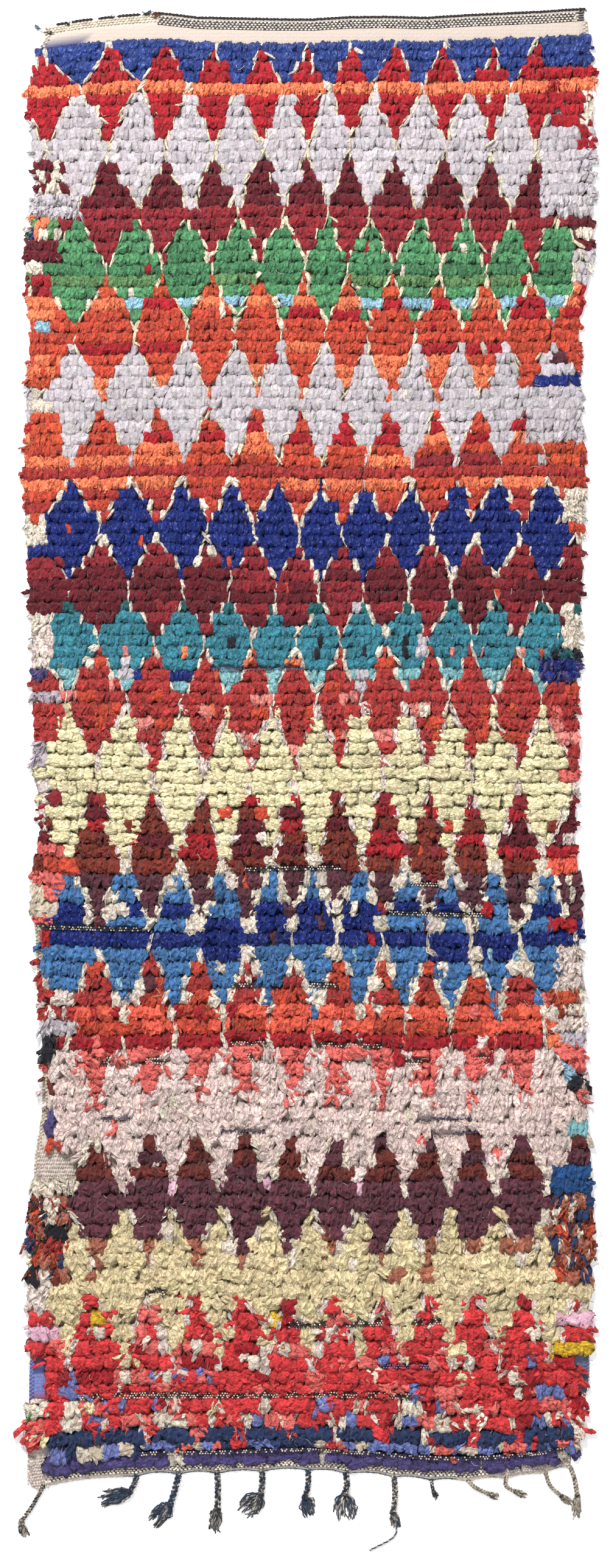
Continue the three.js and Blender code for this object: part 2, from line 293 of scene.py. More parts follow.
# Places where the weaver used other rags, or none. In fluff the rags are cut fine.
PATCHES = named(
    "left right start end lie rags",
    (-490, -438, 251, 324, "knot", "cream maroon"),
    (-504, -411, 321, 363, "fluff", "cool_white"),
    (-499, -444, 354, 398, "knot", "cream orange navy olive"),
    (-504, -446, 396, 435, "knot", "maroon"),
    (-504, -477, 435, 462, "knot", "cream"),
    (-499, -460, 460, 495, "knot", "maroon crimson"),
    (-508, -455, 495, 539, "knot", "orange"),
    (-491, -464, 539, 566, "knot", "pale_blue"),
    (-490, -431, 566, 605, "knot", "coral"),
    (-490, -442, 605, 640, "knot", "orange coral"),
    (-499, -460, 640, 671, "knot", "rust"),
    (-502, -460, 671, 710, "knot", "cream cool_white"),
    (-499, -446, 713, 776, "knot", "coral rust"),
    (-507, -466, 902, 954, "knot", "cream"),
    (-499, -466, 954, 976, "knot", "navy"),
    (-504, -439, 976, 1007, "knot", "garnet"),
    (-499, -437, 1007, 1078, "knot", "maroon"),
    (-493, -460, 1078, 1168, "knot", "cream pink_cream"),
    (-496, -468, 1168, 1186, "knot", "purple"),
    (-499, -466, 1186, 1206, "knot", "brick"),
    (-504, -444, 1206, 1246, "fluff", "grey_lilac"),
    (-461, -437, 1221, 1239, "knot", "salmon"),
    (-493, -449, 1252, 1302, "knot", "brick"),
    (-490, -463, 1305, 1362, "fluff", "grey_lilac"),
    (-483, -466, 1375, 1476, "knot", "pink_cream"),
    (-483, -435, 1485, 1509, "knot", "salmon"),
    (-475, -415, 1509, 1531, "knot", "coral"),
    (-488, -439, 1531, 1558, "knot", "salmon"),
    (-508, -455, 1560, 1615, "knot", "salmon beige"),
    (-479, -453, 1615, 1629, "knot", "maroon"),
    (-490, -464, 1629, 1648, "knot", "salmon"),
    (-508, -481, 1650, 1760, "bare", "beige"),
    (-482, -422, 1760, 1793, "knot", "brick pink_cream"),
    (-475, -417, 1793, 1835, "fluff", "grey_lilac cool_white"),
    (-475, -450, 1833, 1881, "knot", "black"),
    (-490, -464, 1883, 2035, "bare", "beige"),
    (-475, -448, 1912, 1932, "knot", "brown"),
    (-481, -455, 1969, 2002, "knot", "purple cream"),
    (-475, -448, 2010, 2031, "knot", "coral"),
    (-500, -413, 2035, 2097, "bare", "canvas"),
    (-492, -411, 2097, 2112, "fluff", "cream"),
    (-492, -415, 2112, 2132, "fluff", "pink_fluff"),
    (-472, -444, 2172, 2198, "knot", "black"),
    (-505, -426, 2132, 2279, "fluff", "russet terracotta brick night cream rust black"),
    (-499, -466, 2281, 2341, "knot", "pink_cream"),
    (-503, -457, 2341, 2358, "knot", "red"),
    (-503, -453, 2358, 2396, "fluff", "pink_fluff"),
    (-508, -453, 2396, 2418, "knot", "red"),
    (-510, -475, 2418, 2497, "bare", "lilac"),
    (-505, -468, 2497, 2521, "knot", "cream olive"),
    (-505, -466, 2521, 2570, "knot", "red salmon straw"),
    (-520, -466, 2574, 2658, "bare", "canvas"),
    (453, 515, 108, 130, "knot", "orange"),
    (423, 520, 22, 91, "knot", "royal"),
    (439, 500, 91, 187, "knot", "crimson"),
    (500, 520, 130, 193, "knot", "cream"),
    (487, 511, 193, 227, "knot", "crimson"),
    (423, 520, 193, 354, "knot", "cool_white"),
    (472, 518, 359, 389, "knot", "maroon"),
    (476, 518, 389, 405, "knot", "cream"),
    (491, 518, 403, 418, "knot", "maroon"),
    (478, 518, 418, 471, "knot", "cool_white cream"),
    (482, 513, 471, 530, "knot", "orange crimson"),
    (469, 507, 526, 546, "knot", "crimson"),
    (439, 469, 603, 627, "knot", "plum"),
    (428, 489, 627, 645, "knot", "cool_white"),
    (414, 497, 644, 669, "knot", "navy"),
    (394, 500, 669, 776, "knot", "cool_white"),
    (428, 498, 776, 798, "knot", "rust"),
    (414, 439, 787, 810, "knot", "cool_white"),
    (439, 496, 798, 816, "knot", "orange"),
    (463, 502, 858, 902, "fluff", "cream"),
    (475, 500, 900, 920, "knot", "coral"),
    (478, 500, 922, 955, "knot", "cream"),
    (480, 504, 964, 979, "knot", "navy"),
    (456, 491, 1043, 1078, "knot", "dark_teal cream"),
    (463, 493, 1078, 1133, "fluff", "cream"),
    (441, 489, 1131, 1148, "fluff", "black dark_teal"),
    (423, 491, 1148, 1190, "fluff", "navy purple"),
    (441, 491, 1182, 1204, "knot", "rose brick"),
    (441, 463, 1238, 1260, "knot", "salmon"),
    (460, 493, 1348, 1371, "knot", "salmon"),
    (463, 491, 1461, 1478, "knot", "pink_cream"),
    (434, 482, 1505, 1533, "knot", "orange_red"),
    (441, 482, 1612, 1632, "knot", "crimson"),
    (480, 498, 1626, 1657, "knot", "navy"),
    (452, 500, 1683, 1760, "fluff", "pink_cream"),
    (441, 491, 1760, 1803, "fluff", "brown cream rust"),
    (452, 500, 1803, 1826, "knot", "pink_cream"),
    (463, 498, 1822, 1844, "knot", "grey_lilac"),
    (441, 464, 1818, 1843, "knot", "orange"),
    (463, 478, 1892, 1923, "knot", "pale_blue"),
    (480, 499, 1921, 1938, "knot", "black"),
    (491, 502, 1980, 2000, "knot", "purple"),
    (469, 507, 1998, 2024, "knot", "pale_teal"),
    (442, 511, 2060, 2123, "knot", "strong_blue"),
    (442, 522, 2125, 2279, "fluff", "terracotta rust russet cream night terracotta"),
    (442, 504, 2334, 2361, "fluff", "pink_fluff"),
    (449, 504, 2372, 2389, "fluff", "pink_fluff"),
    (436, 491, 2387, 2401, "knot", "yellow"),
    (486, 520, 2400, 2486, "bare", "slate"),
    (419, 458, 2468, 2497, "knot", "lilac"),
    (482, 500, 2530, 2554, "knot", "lilac"),
    (-337, -313, 1160, 1186, "knot", "cool_white"),
    (-320, -293, 1175, 1194, "knot", "navy"),
    (-248, -207, 1172, 1188, "knot", "navy"),
    (-145, -129, 1120, 1142, "knot", "black"),
    (17, 29, 1113, 1155, "knot", "black"),
    (97, 113, 1124, 1150, "knot", "black"),
    (172, 185, 1116, 1146, "knot", "black"),
    (79, 97, 1058, 1078, "knot", "cool_white"),
    (199, 223, 1122, 1144, "knot", "cool_white"),
    (87, 111, 1181, 1206, "knot", "cool_white"),
    (-120, -96, 1148, 1172, "knot", "orange"),
    (-37, -8, 1144, 1172, "knot", "orange"),
)

# Stray knots of other rags: how many of the knots between two places down the cloth.
FLECKS = named(
    "start end share rags",
    (120, 230, 0.006, "orange cream"),
    (340, 700, 0.01, "crimson cream"),
    (900, 1060, 0.012, "coral cream"),
    (1130, 1250, 0.03, "rose cream rust orange"),
    (1400, 1560, 0.04, "russet coral garnet cream"),
    (1560, 1760, 0.07, "cream pale_blue pink_cream plum crimson cream"),
    (1760, 1870, 0.05, "salmon crimson pink_cream"),
    (1870, 2060, 0.015, "salmon cream"),
    (2180, 2290, 0.04, "terracotta cream terracotta"),
    (2330, 2420, 0.09, "yellow cream salmon straw cream"),
    (2420, 2510, 0.15, "cream salmon lilac straw cream"),
    (2510, 2590, 0.22, "cream salmon lilac red cream"),
)

# Lines where the rows part and the weave shows between them.
WEAVE_LINES = named(
    "left right down lines yarns",
    (-180, -4, 1169, 1, "purple"),
    (-125, 62, 1534, 2, "cream black"),
    (189, 244, 1573, 2, "cream beige"),
    (150, 326, 1608, 2, "cream beige black"),
    (-504, -284, 1650, 2, "beige black"),
    (-135, -83, 1756, 2, "cream black"),
    (-4, 62, 1756, 2, "cream black"),
    (-135, -72, 1843, 2, "cream beige black"),
    (17, 139, 1843, 2, "cream beige black"),
    (-383, -350, 1876, 4, "cream beige black"),
    (-290, -256, 1890, 4, "cream beige black"),
    (-112, -80, 1881, 4, "cream beige black"),
    (180, 210, 1880, 3, "cream beige black"),
    (300, 330, 1880, 3, "cream beige black"),
    (-367, -317, 1991, 1, "purple"),
    (205, 299, 1991, 1, "purple"),
    (-152, -70, 2022, 1, "purple"),
    (224, 315, 2022, 1, "purple"),
    (-288, -255, 2303, 5, "cream black"),
    (-31, 40, 2367, 3, "cream black"),
    (68, 139, 2367, 3, "cream black"),
    (194, 252, 2367, 3, "cream black"),
    (137, 227, 2446, 2, "lilac"),
    (-411, 192, 2499, 3, "cream black cream"),
    (-300, 470, 2584, 2, "cream black"),
)
LINE_LEVEL = 13.5

# The four stuffs that rags and yarns are made of. Beside its roughness, sheen and gloss, each has
# the size and depth of its folds and the size of its knit in millimetres, how much it has faded,
# and how far its colour is darkened in its creases, as painted shade.
CLOTHS = named(
    "name finish rough sheen gloss fold deep knit fade crease",
    # Worn cotton jersey torn into strips: matt, soft creases along each strip, faded in places.
    ("cotton_jersey_rag", "jersey", 0.85, 0.15, 0.2, 7.0, 3.2, 1.8, 0.12, 0.58),
    # Nylon satin lining cut into strips: closer creases with small bright highlights.
    ("nylon_satin_rag", "satin", 0.45, 0.05, 0.35, 5.0, 2.4, 1.4, 0.12, 0.62),
    # Handspun wool yarn: hairy and quite matt, with a soft bright rim.
    ("handspun_wool", "wool", 0.95, 0.4, 0.2, 3.0, 0.9, 1.5, 0.2, 0.72),
    # Thin undyed cotton stockinet: flatter than the jersey, with faint creases and an even tone.
    ("cotton_stockinet_rag", "stockinet", 0.9, 0.2, 0.2, 6.5, 1.7, 1.8, 0.05, 0.78),
)
FINISHES = [cloth["finish"] for cloth in CLOTHS]
WOOL = FINISHES.index("wool")

# Rag and yarn colours, as sRGB, with the finish of the stuff they are cut from.
RAGS = named(
    "key code finish",
    ("royal", "#273d81", "satin"),
    ("crimson", "#a51a25", "jersey"),
    ("orange", "#ee7d54", "jersey"),
    ("cool_white", "#b6aeb2", "stockinet"),
    ("maroon", "#641521", "jersey"),
    ("garnet", "#8a232c", "jersey"),
    ("green", "#528f60", "jersey"),
    ("leaf", "#457d54", "jersey"),
    ("olive", "#5e8554", "jersey"),
    ("pale_blue", "#8fb9cc", "jersey"),
    ("coral", "#bf4630", "jersey"),
    ("rust", "#c34f30", "jersey"),
    ("brick", "#a93431", "jersey"),
    ("rose", "#dd857c", "jersey"),
    ("orange_red", "#e8614a", "jersey"),
    ("navy", "#0a2270", "satin"),
    ("dark_teal", "#1e5c60", "jersey"),
    ("teal", "#377f90", "jersey"),
    ("pale_teal", "#7fb3b8", "jersey"),
    ("straw", "#dfd3a8", "jersey"),
    ("russet", "#7a2d20", "jersey"),
    ("plum", "#5a2c38", "jersey"),
    ("mid_blue", "#4474a8", "jersey"),
    ("strong_blue", "#1f4f87", "jersey"),
    ("salmon", "#df6a63", "jersey"),
    ("pink", "#e0c9c2", "jersey"),
    ("pink_cream", "#dccbc2", "jersey"),
    ("pink_fluff", "#e0b0c4", "wool"),
    ("brown", "#6b2a24", "jersey"),
    ("aubergine", "#63333f", "jersey"),
    ("terracotta", "#a3624c", "jersey"),
    ("pale_straw", "#dbc99f", "jersey"),
    ("red", "#d0393c", "jersey"),
    ("yellow", "#d9b02c", "jersey"),
    ("night", "#27375f", "jersey"),
    ("lilac", "#6f7ab5", "jersey"),
    ("purple", "#504578", "jersey"),
    ("cream", "#dccfbe", "jersey"),
    ("ecru", "#dfd0b4", "jersey"),
    ("canvas", "#cfc0b4", "wool"),
    ("beige", "#c8baa4", "wool"),
    ("black", "#1d1d24", "jersey"),
    ("grey_lilac", "#b0a2ac", "wool"),
    ("slate", "#66728f", "wool"),
    ("warp_dark", "#26242a", "wool"),
    ("edging_dark", "#2e221c", "wool"),
    ("indigo", "#1f4664", "wool"),
)

# Braided warp ends, from root through bend to knot, with a tail of loose yarns running on from
# the knot. Places are offsets from the root, across and away from the cloth.
NAVY_YARNS = "black night indigo black indigo cream night"
MIXED_YARNS = "black night cream indigo black beige"
PALE_YARNS = "beige beige cream beige black"
BRAIDS = named(
    "root bend knot tail thick fan yarns",
    (-474, (-22, 36), (-41, 62), (8, 30), 8, 8, "black cream black beige"),
    (-306, (-5, 13), (-13, 27), (-52, 20), 11, 16, NAVY_YARNS),
    (-230, (-8, 28), (-16, 54), (-34, 36), 12, 15, NAVY_YARNS),
    (-161, (1, 32), (0, 64), (-9, 42), 12, 11, MIXED_YARNS),
    (-80, (0, 20), (-3, 41), (-34, 38), 12, 17, MIXED_YARNS),
    (3, (0, 24), (-6, 48), (14, 34), 11, 13, NAVY_YARNS),
    (71, (2, 18), (-2, 37), (0, 48), 12, 20, NAVY_YARNS),
    (158, (2, 32), (-2, 64), (8, 28), 11, 8, MIXED_YARNS),
    (225, (2, 10), (5, 21), (6, 12), 7, 5, NAVY_YARNS),
    (290, (16, 12), (38, 22), (20, 8), 8, 5, PALE_YARNS),
    (361, (-1, 13), (17, 24), (18, 9), 8, 5, PALE_YARNS),
    (431, (9, 22), (30, 42), (20, 16), 8, 6, PALE_YARNS),
    (476, (8, 20), (13, 50), (-2, 42), 9, 7, PALE_YARNS),
)
TAIL_TWIST = dict(braid=7, bend=(4, 40), tip=(-42, 68))

# How some rags lie: their width beside the zone's knots, how rough they are (which also sets how
# deep the painted shade at their roots is), how far they stray from straight down, their length,
# their form, and, where they are cut finer, how many strips they are cut into, between which
# widths, and how far these sweep aside.
LIES = named(
    "rag knot rough stray long form strips strip sweep",
    ("plain", 1.0, 1.0, 0.22, 1.0, None, 0),
    ("fluff", 1.0, 1.0, 0.3, 0.9, None, 3, (3.4, 5.4), 0.5),
    ("orange", 1.0, 1.0, 0.16, 1.05, None, 3, (3.4, 5.0), 0.22),
    ("pink", 0.9, 0.6, 0.34, 1.15, None, 0),
    ("red", 1.3, 0.9, 0.2, 1.0, "folded", 3, (7, 11), 1.2),
    ("salmon", 1.2, 1.1, 0.3, 1.0, "folded", 2, (6, 9), 1.0),
    ("straw", 1.6, 0.6, 0.16, 1.0, "folded", 0),
    ("pale_straw", 1.3, 0.8, 0.4, 1.12, None, 0),
    ("purple", 1.7, 1.0, 0.2, 1.1, "folded", 0),
    ("cool_white", 1.1, 0.25, 0.2, 1.08, None, 0),
)
LIE_OF = {lie["rag"]: lie for lie in LIES}

# Strips of bare weave: the open one has dark gaps between its floats, and the ribbed one has long
# floats side by side. Their floats are so wide and long, in millimetres.
END_STRIPS = named(
    "left right start end kind wide long yarns tone fill",
    (-470, -268, 1, 11, "ribbed", 6.5, 4.2, "ecru ecru beige"),
    (-268, 500, 3, 19, "open", 6.9, 4.0, "cream"),
    # The lower open strip is painted lighter, to lift the shade that the hem casts over it.
    (-470, 330, 2609, 2630, "open", 6.8, 4.2, "cream", 1.4, 0.98),
    (-505, -464, 2584, 2636, "ribbed", 5.0, 5.0, "pink_cream"),
    (330, 492, 2612, 2630, "ribbed", 5.0, 5.0, "pink_cream"),
    (-490, -414, 2036, 2110, "ribbed", 4.0, 7.0, "canvas"),
)

# Where the twined edging still holds, across the cloth. It has worn through in the gaps.
EDGING_RUNS = named(
    "left right",
    (-452, -432),
    (-424, -386),
    (-376, -352),
    (-342, -300),
    (-294, -284),
    (-278, 503),
)

# Clumps of broken ends along the edging: place, spread and yarn.
FRAYS = named(
    "across down spread count yarn",
    (-468, 8, 9, 16, "edging_dark"),
    (-486, -2, 8, 10, "indigo"),
    (-428, -1, 6, 8, "edging_dark"),
    (-350, -3, 8, 10, "edging_dark"),
    (-290, -5, 8, 12, "edging_dark"),
    (-272, 0, 9, 26, "brown"),
    (-283, -9, 5, 5, "indigo"),
    (500, -3, 5, 8, "edging_dark"),
)

# Height of a rag end along its length, from its knot to its tip, as a share of the pile's height.
# Close rows bed into each other, and long ends hang over the row below.
BEDDED = ((0, 0.25), (0.1, 0.7), (0.28, 1.0), (0.6, 1.0), (0.85, 0.85), (1, 0.55))
HANGING = ((0, 0.1), (0.12, 0.5), (0.3, 0.92), (0.6, 1.0), (0.85, 0.98), (1, 0.78))

# The forms of rag end, each modelled a few times: its faces across and along, how far its pleats
# and folds rise and fall, and how uneven it is.
RAG_FORMS = named(
    "form profile across along pleats folds uneven seed",
    ("short", BEDDED, 4, 4, 0.1, 0.06, 0.06, 0),
    ("long", HANGING, 5, 5, 0.16, 0.1, 0.09, 20),
    ("folded", HANGING, 5, 6, 0.08, 0.2, 0.08, 40),
    ("shred", BEDDED, 3, 5, 0.2, 0.12, 0.08, 60),
)

# How many shapes each form has, how many pieces the pile is in, and how low and high it may go.
SHAPES_EACH = 8
PILE_PIECES = 6
PILE_FLOOR = 0.6
PILE_CEILING = 26


def hex_colour(code):
    """A linear colour for an sRGB hex code."""
    parts = [int(code[k : k + 2], 16) / 255 for k in (1, 3, 5)]
    return tuple(p / 12.92 if p <= 0.04045 else ((p + 0.055) / 1.055) ** 2.4 for p in parts)


COLOUR_OF = {rag["key"]: hex_colour(rag["code"]) for rag in RAGS}
FINISH_OF = {rag["key"]: FINISHES.index(rag["finish"]) for rag in RAGS}


def read_outline():
    """The cloth's edges on the floor, read from its solid: both sides by place along it, and both ends."""
    points = np.array([v.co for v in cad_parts["runner_body"].data.vertices]) / MM
    floor = np.unique(np.round(points[points[:, 2] < 0.2, :2], 2), axis=0)
    aside = floor[:, 0] - CENTRE_LINE
    rims = [floor[aside * sign > RIM_FROM] for sign in (-1, 1)]
    inner = floor[np.abs(aside) < RIM_FROM]
    outline = {}
    for side, sign, rim in zip(("left", "right"), (-1, 1), rims):
        rim = rim[np.argsort(rim[:, 1])]
        reach = (rim[:, 0] - CENTRE_LINE) * sign
        padded = np.concatenate([reach[:1], reach, reach[-1:]])
        cloth = np.minimum(reach, np.minimum(padded[:-2], padded[2:]))
        outline[side] = (rim[:, 1], CENTRE_LINE + sign * cloth)
    for end, sign in (("upper", 1), ("lower", -1)):
        corners = [rim[np.argmax(rim[:, 1] * sign)] for rim in rims]
        run = np.vstack([inner[inner[:, 1] * sign > 0], corners])
        run = run[np.argsort(run[:, 0])]
        outline[end] = (run[:, 0], run[:, 1])
    return outline


OUTLINE = read_outline()
UPPER_LINE = float(OUTLINE["upper"][1].mean())
LENGTH = UPPER_LINE - float(OUTLINE["lower"][1].mean())


def edge_at(side, down):
    """How far across the cloth its left or right edge is, at a place down it."""
    along, across = OUTLINE[side]
    return np.interp(UPPER_LINE - np.asarray(down, float), along, across) - CENTRE_LINE


def end_bow(end, across):
    """How far the upper or lower end bows from a straight cut."""
    places, along = OUTLINE[end]
    straight = UPPER_LINE if end == "upper" else UPPER_LINE - LENGTH
    return np.interp(np.asarray(across, float) + CENTRE_LINE, places, along) - straight


def to_frame(across, down):
    """Places on the cloth as places in the shared frame, in millimetres."""
    across, down = np.asarray(across, float), np.asarray(down, float)
    near_upper = np.clip(1 - down / BOW_FADE, 0, 1)
    near_lower = np.clip(1 - (LENGTH - down) / BOW_FADE, 0, 1)
    calm = (1 - near_upper) * (1 - near_lower)
    wave = ROW_WAVE * np.sin(across / WAVE_ACROSS + down / WAVE_DOWN) * calm
    bow = end_bow("upper", across) * near_upper + end_bow("lower", across) * near_lower
    roots = [braid["root"] for braid in BRAIDS]
    between = np.interp(across, roots, np.arange(len(roots)))
    drawn = np.abs(np.sin(between * HALF_TURN)) * np.clip(1 - (LENGTH - down) / SCALLOP_FADE, 0, 1)
    return across + CENTRE_LINE, UPPER_LINE - down + bow + (wave + SCALLOP * drawn)


def panel_factor(name, description, default, low, high):
    """A factor for the panel."""
    return FloatProperty(
        name=name, description=description, default=default, min=low, max=high, subtype="FACTOR"
    )


def panel_length(name, description, default, low, high):
    """A length for the panel, given in millimetres."""
    sizes = dict(default=default * MM, min=low * MM, max=high * MM)
    return FloatProperty(name=name, description=description, unit="LENGTH", precision=4, **sizes)


def panel_count(name, description, default, low, high):
    """A number of pieces for the panel."""
    return IntProperty(name=name, description=description, default=default, min=low, max=high)


class RunnerSizes(PropertyGroup):
    """Sizes of the pile, weave and yarns."""

    crest: panel_factor("Pile height", "Height of the rag pile beside the height of each zone", 1.0, 0.3, 1.3)
    rag_length: panel_factor("Rag length", "Length of a rag end beside its row", 1.2, 0.8, 1.6)
    crumple: panel_length("Crumple", "How far creases stand from a rag end's smooth form", 1.8, 0, 4)
    grain: panel_length("Weft grain", "Width of one float of weft in the bare weave", 2.6, 1, 8)
    edging_ply: panel_length("Edging ply", "Radius of each ply of the twined edging", 1.6, 0.5, 3)
    edging_turn: panel_length("Edging twist", "Length of one full turn of the twined edging", 13, 4, 40)
    tail_yarns: panel_count("Tail yarns", "Number of loose yarns in the tail of a full braid", 18, 3, 40)
    threads: panel_count("Loose threads", "Number of loose threads on the pile", 420, 0, 1000)


class RunnerColours(PropertyGroup):
    """Colours of the rags and yarns."""

    __annotations__ = {
        rag["key"]: FloatVectorProperty(
            name=rag["key"].replace("_", " ").capitalize(),
            description="Colour of the " + rag["finish"] + " cut for this rag or yarn",
            default=COLOUR_OF[rag["key"]],
            min=0,
            max=1,
            subtype="COLOR",
        )
        for rag in RAGS
    }


def colours_now():
    """The colour of each rag as the panel has it."""
    chosen = bpy.context.scene.runner_colours
    return {rag["key"]: np.array(getattr(chosen, rag["key"])) for rag in RAGS}


def clear_selection():
    """Object mode, with nothing selected."""
    if bpy.context.object and bpy.context.object.mode != "OBJECT":
        bpy.ops.object.mode_set(mode="OBJECT")
    bpy.ops.object.select_all(action="DESELECT")


def select_points(thing, chosen):
    """Edit mode on one object, with just the points selected that a test picks."""
    bpy.ops.object.mode_set(mode="EDIT")
    bpy.ops.mesh.select_mode(type="VERT")
    bpy.ops.mesh.select_all(action="DESELECT")
    bpy.ops.object.mode_set(mode="OBJECT")
    for v in thing.data.vertices:
        v.select = bool(chosen(v.co))
    bpy.ops.object.mode_set(mode="EDIT")


def take_form(thing):
    """The arrays of a modelled form, which is then removed."""
    bpy.ops.object.mode_set(mode="OBJECT")
    mesh = thing.data
    form = {
        "points": np.array([v.co for v in mesh.vertices]),
        "loops": np.array([loop.vertex_index for loop in mesh.loops]),
        "starts": np.array([p.loop_start for p in mesh.polygons]),
    }
    bpy.data.objects.remove(thing)
    bpy.data.meshes.remove(mesh)
    return form


def move_points(thing, chosen, value):
    """Moves the points that a test picks."""
    select_points(thing, chosen)
    bpy.ops.transform.translate(value=value)


def model_rag_end(profile, across, along, pleats, folds, uneven, seed):
    """One rag end, one unit wide, long and high: a strip that rises from its knot, bends over and
    droops, pleated along its length and folded across it, with a ragged tip and a closed underside."""
    clear_selection()
    bpy.ops.mesh.primitive_grid_add(x_subdivisions=across, y_subdivisions=along, size=1, location=(0, 0, 0))
    rag = bpy.context.object
    rng = np.random.default_rng(seed)
    places, heights = zip(*profile)
    for line in range(along + 1):
        level = 0.5 - line / along
        height = float(np.interp(line / along, places, heights)) + rng.uniform(-folds, folds)
        move_points(rag, lambda co: abs(co.y - level) < 0.01, (rng.uniform(-0.05, 0.05), 0, height))
    for line in range(1, across):
        level = line / across - 0.5
        shift = (0, rng.uniform(-0.05, 0.05), rng.uniform(-pleats, pleats))
        move_points(rag, lambda co: abs(co.x - level) < 0.08, shift)
    for side in (-1, 1):
        droop = (0, 0, -rng.uniform(0.2, 0.38))
        move_points(rag, lambda co: co.x * side > 0.42, droop)
        taper = (-0.14 * side, rng.uniform(0.02, 0.14), 0)
        move_points(rag, lambda co: co.x * side > 0.42 and co.y < -0.42, taper)
    select_points(rag, lambda co: co.y > 0.42)
    bpy.ops.transform.resize(value=(0.75, 1, 1))
    bpy.ops.mesh.select_all(action="SELECT")
    bpy.ops.transform.vertex_random(offset=uneven, uniform=1, normal=0, seed=seed)
    bpy.ops.mesh.select_mode(type="EDGE")
    bpy.ops.mesh.select_all(action="DESELECT")
    bpy.ops.mesh.select_non_manifold()
    bpy.ops.mesh.edge_face_add()
    bpy.ops.mesh.quads_convert_to_tris(quad_method="BEAUTY", ngon_method="BEAUTY")
    bpy.ops.mesh.select_all(action="SELECT")
    bpy.ops.mesh.normals_make_consistent(inside=False)
    form = take_form(rag)
    form["points"][:, 1] = 0.5 - form["points"][:, 1]
    form["points"][:, 2] = np.clip(form["points"][:, 2], 0, 1.25)
    form["sunk"] = form["points"][:, 2] - np.interp(form["points"][:, 1], places, heights)
    return form


def model_grain():
    """One float of weft, one unit each way: a seed with a flattened underside."""
    clear_selection()
    bpy.ops.mesh.primitive_ico_sphere_add(subdivisions=1, radius=0.5, location=(0, 0, 0))
    grain = bpy.context.object
    select_points(grain, lambda co: co.z < -0.1)
    bpy.ops.transform.resize(value=(1, 1, 0.5))
    select_points(grain, lambda co: abs(co.x) > 0.3)
    bpy.ops.transform.resize(value=(1, 0.8, 0.9))
    return take_form(grain)


def model_yarn(sides, steps):
    """A length of yarn along Z, one unit long and round, with closed ends."""
    clear_selection()
    bpy.ops.mesh.primitive_cylinder_add(
        vertices=sides, radius=1, depth=1, end_fill_type="TRIFAN", location=(0, 0, 0.5)
    )
    yarn = bpy.context.object
    bpy.ops.object.transform_apply(location=True)
    for step in range(1, steps):
        select_points(yarn, lambda co: True)
        bpy.ops.mesh.bisect(plane_co=(0, 0, step / steps), plane_no=(0, 0, 1))
    return take_form(yarn)


class Heap:
    """Gathers many copies of modelled forms into the arrays of one mesh."""

    def __init__(self):
        self.count = 0
        self.loop_count = 0
        self.parts = []

    def add(self, form, points, colours, finish, lie, smooth=True):
        """points are (copies, points, 3) in metres; colours match them or have one row a copy."""
        copies, each = points.shape[:2]
        shown = np.ones((copies, each, 4))
        shown[:, :, :3] = colours if colours.ndim == 3 else colours[:, None, :]
        order = np.arange(copies)[:, None]
        loops = form["loops"][None, :] + self.count + order * each
        starts = form["starts"][None, :] + self.loop_count + order * len(form["loops"])
        finishes = np.repeat(np.asarray(finish, int), len(form["starts"]))
        maps = lie[:, form["loops"]].reshape(-1, 2)
        soft = np.full(len(finishes), smooth)
        flat = (points.reshape(-1, 3), shown.reshape(-1, 4), loops.ravel(), starts.ravel())
        self.parts.append((*flat, finishes, maps, soft))
        self.count += copies * each
        self.loop_count += copies * len(form["loops"])

    def build(self, name):
        """One object with all the copies, its colours in an attribute and its lie in a UV map."""
        points, shown, loops, starts, finishes, maps, soft = (np.concatenate(a) for a in zip(*self.parts))
        mesh = bpy.data.meshes.new(name)
        mesh.vertices.add(len(points))
        mesh.vertices.foreach_set("co", points.astype(np.float32).ravel())
        mesh.loops.add(len(loops))
        mesh.loops.foreach_set("vertex_index", loops.astype(np.int32))
        mesh.polygons.add(len(starts))
        mesh.polygons.foreach_set("loop_start", starts.astype(np.int32))
        for cloth in CLOTHS:
            mesh.materials.append(bpy.data.materials.get(cloth["name"]) or cloth_material(cloth))
        mesh.polygons.foreach_set("material_index", finishes.astype(np.int32))
        mesh.update(calc_edges=True)
        colour = mesh.color_attributes.new("rag_colour_and_shade", "FLOAT_COLOR", "POINT")
        colour.data.foreach_set("color", shown.astype(np.float32).ravel())
        lie = mesh.uv_layers.new(name="lie")
        lie.data.foreach_set("uv", maps.astype(np.float32).ravel())
        mesh.polygons.foreach_set("use_smooth", soft)
        thing = bpy.data.objects.new(name, mesh)
        bpy.context.scene.collection.objects.link(thing)
        return thing


def rings_of(form, steps):
    """Which ring of a yarn each of its points is on."""
    return np.round(form["points"][:, 2] * steps).astype(int)


def lay_yarn(heap, form, path, radii, colours, flatten=1.0):
    """A yarn form swept along a path of (steps + 1, 3) in millimetres."""
    rings = rings_of(form, len(path) - 1)
    ahead = np.roll(path, -1, axis=0)
    ahead[-1] = 2 * path[-1] - path[-2]
    along = ahead - path
    along /= np.linalg.norm(along, axis=1, keepdims=True) + 1e-9
    side = np.cross(along, (0.0, 0.0, 1.0))
    side /= np.linalg.norm(side, axis=1, keepdims=True) + 1e-9
    over = np.cross(side, along)
    radii = np.broadcast_to(radii, len(path))[rings]
    section = form["points"][:, :2] * radii[:, None]
    points = path[rings] + side[rings] * section[:, :1] + over[rings] * section[:, 1:] * flatten
    points[:, 2] = np.maximum(points[:, 2], YARN_FLOOR)
    around = np.arctan2(form["points"][:, 1], form["points"][:, 0]) * radii
    run = np.concatenate([[0], np.cumsum(np.linalg.norm(np.diff(path, axis=0), axis=1))])
    lie = np.stack([around, run[rings]], axis=1)
    heap.add(form, points[None] * MM, np.asarray(colours, float)[None], [WOOL], lie[None] * MM)


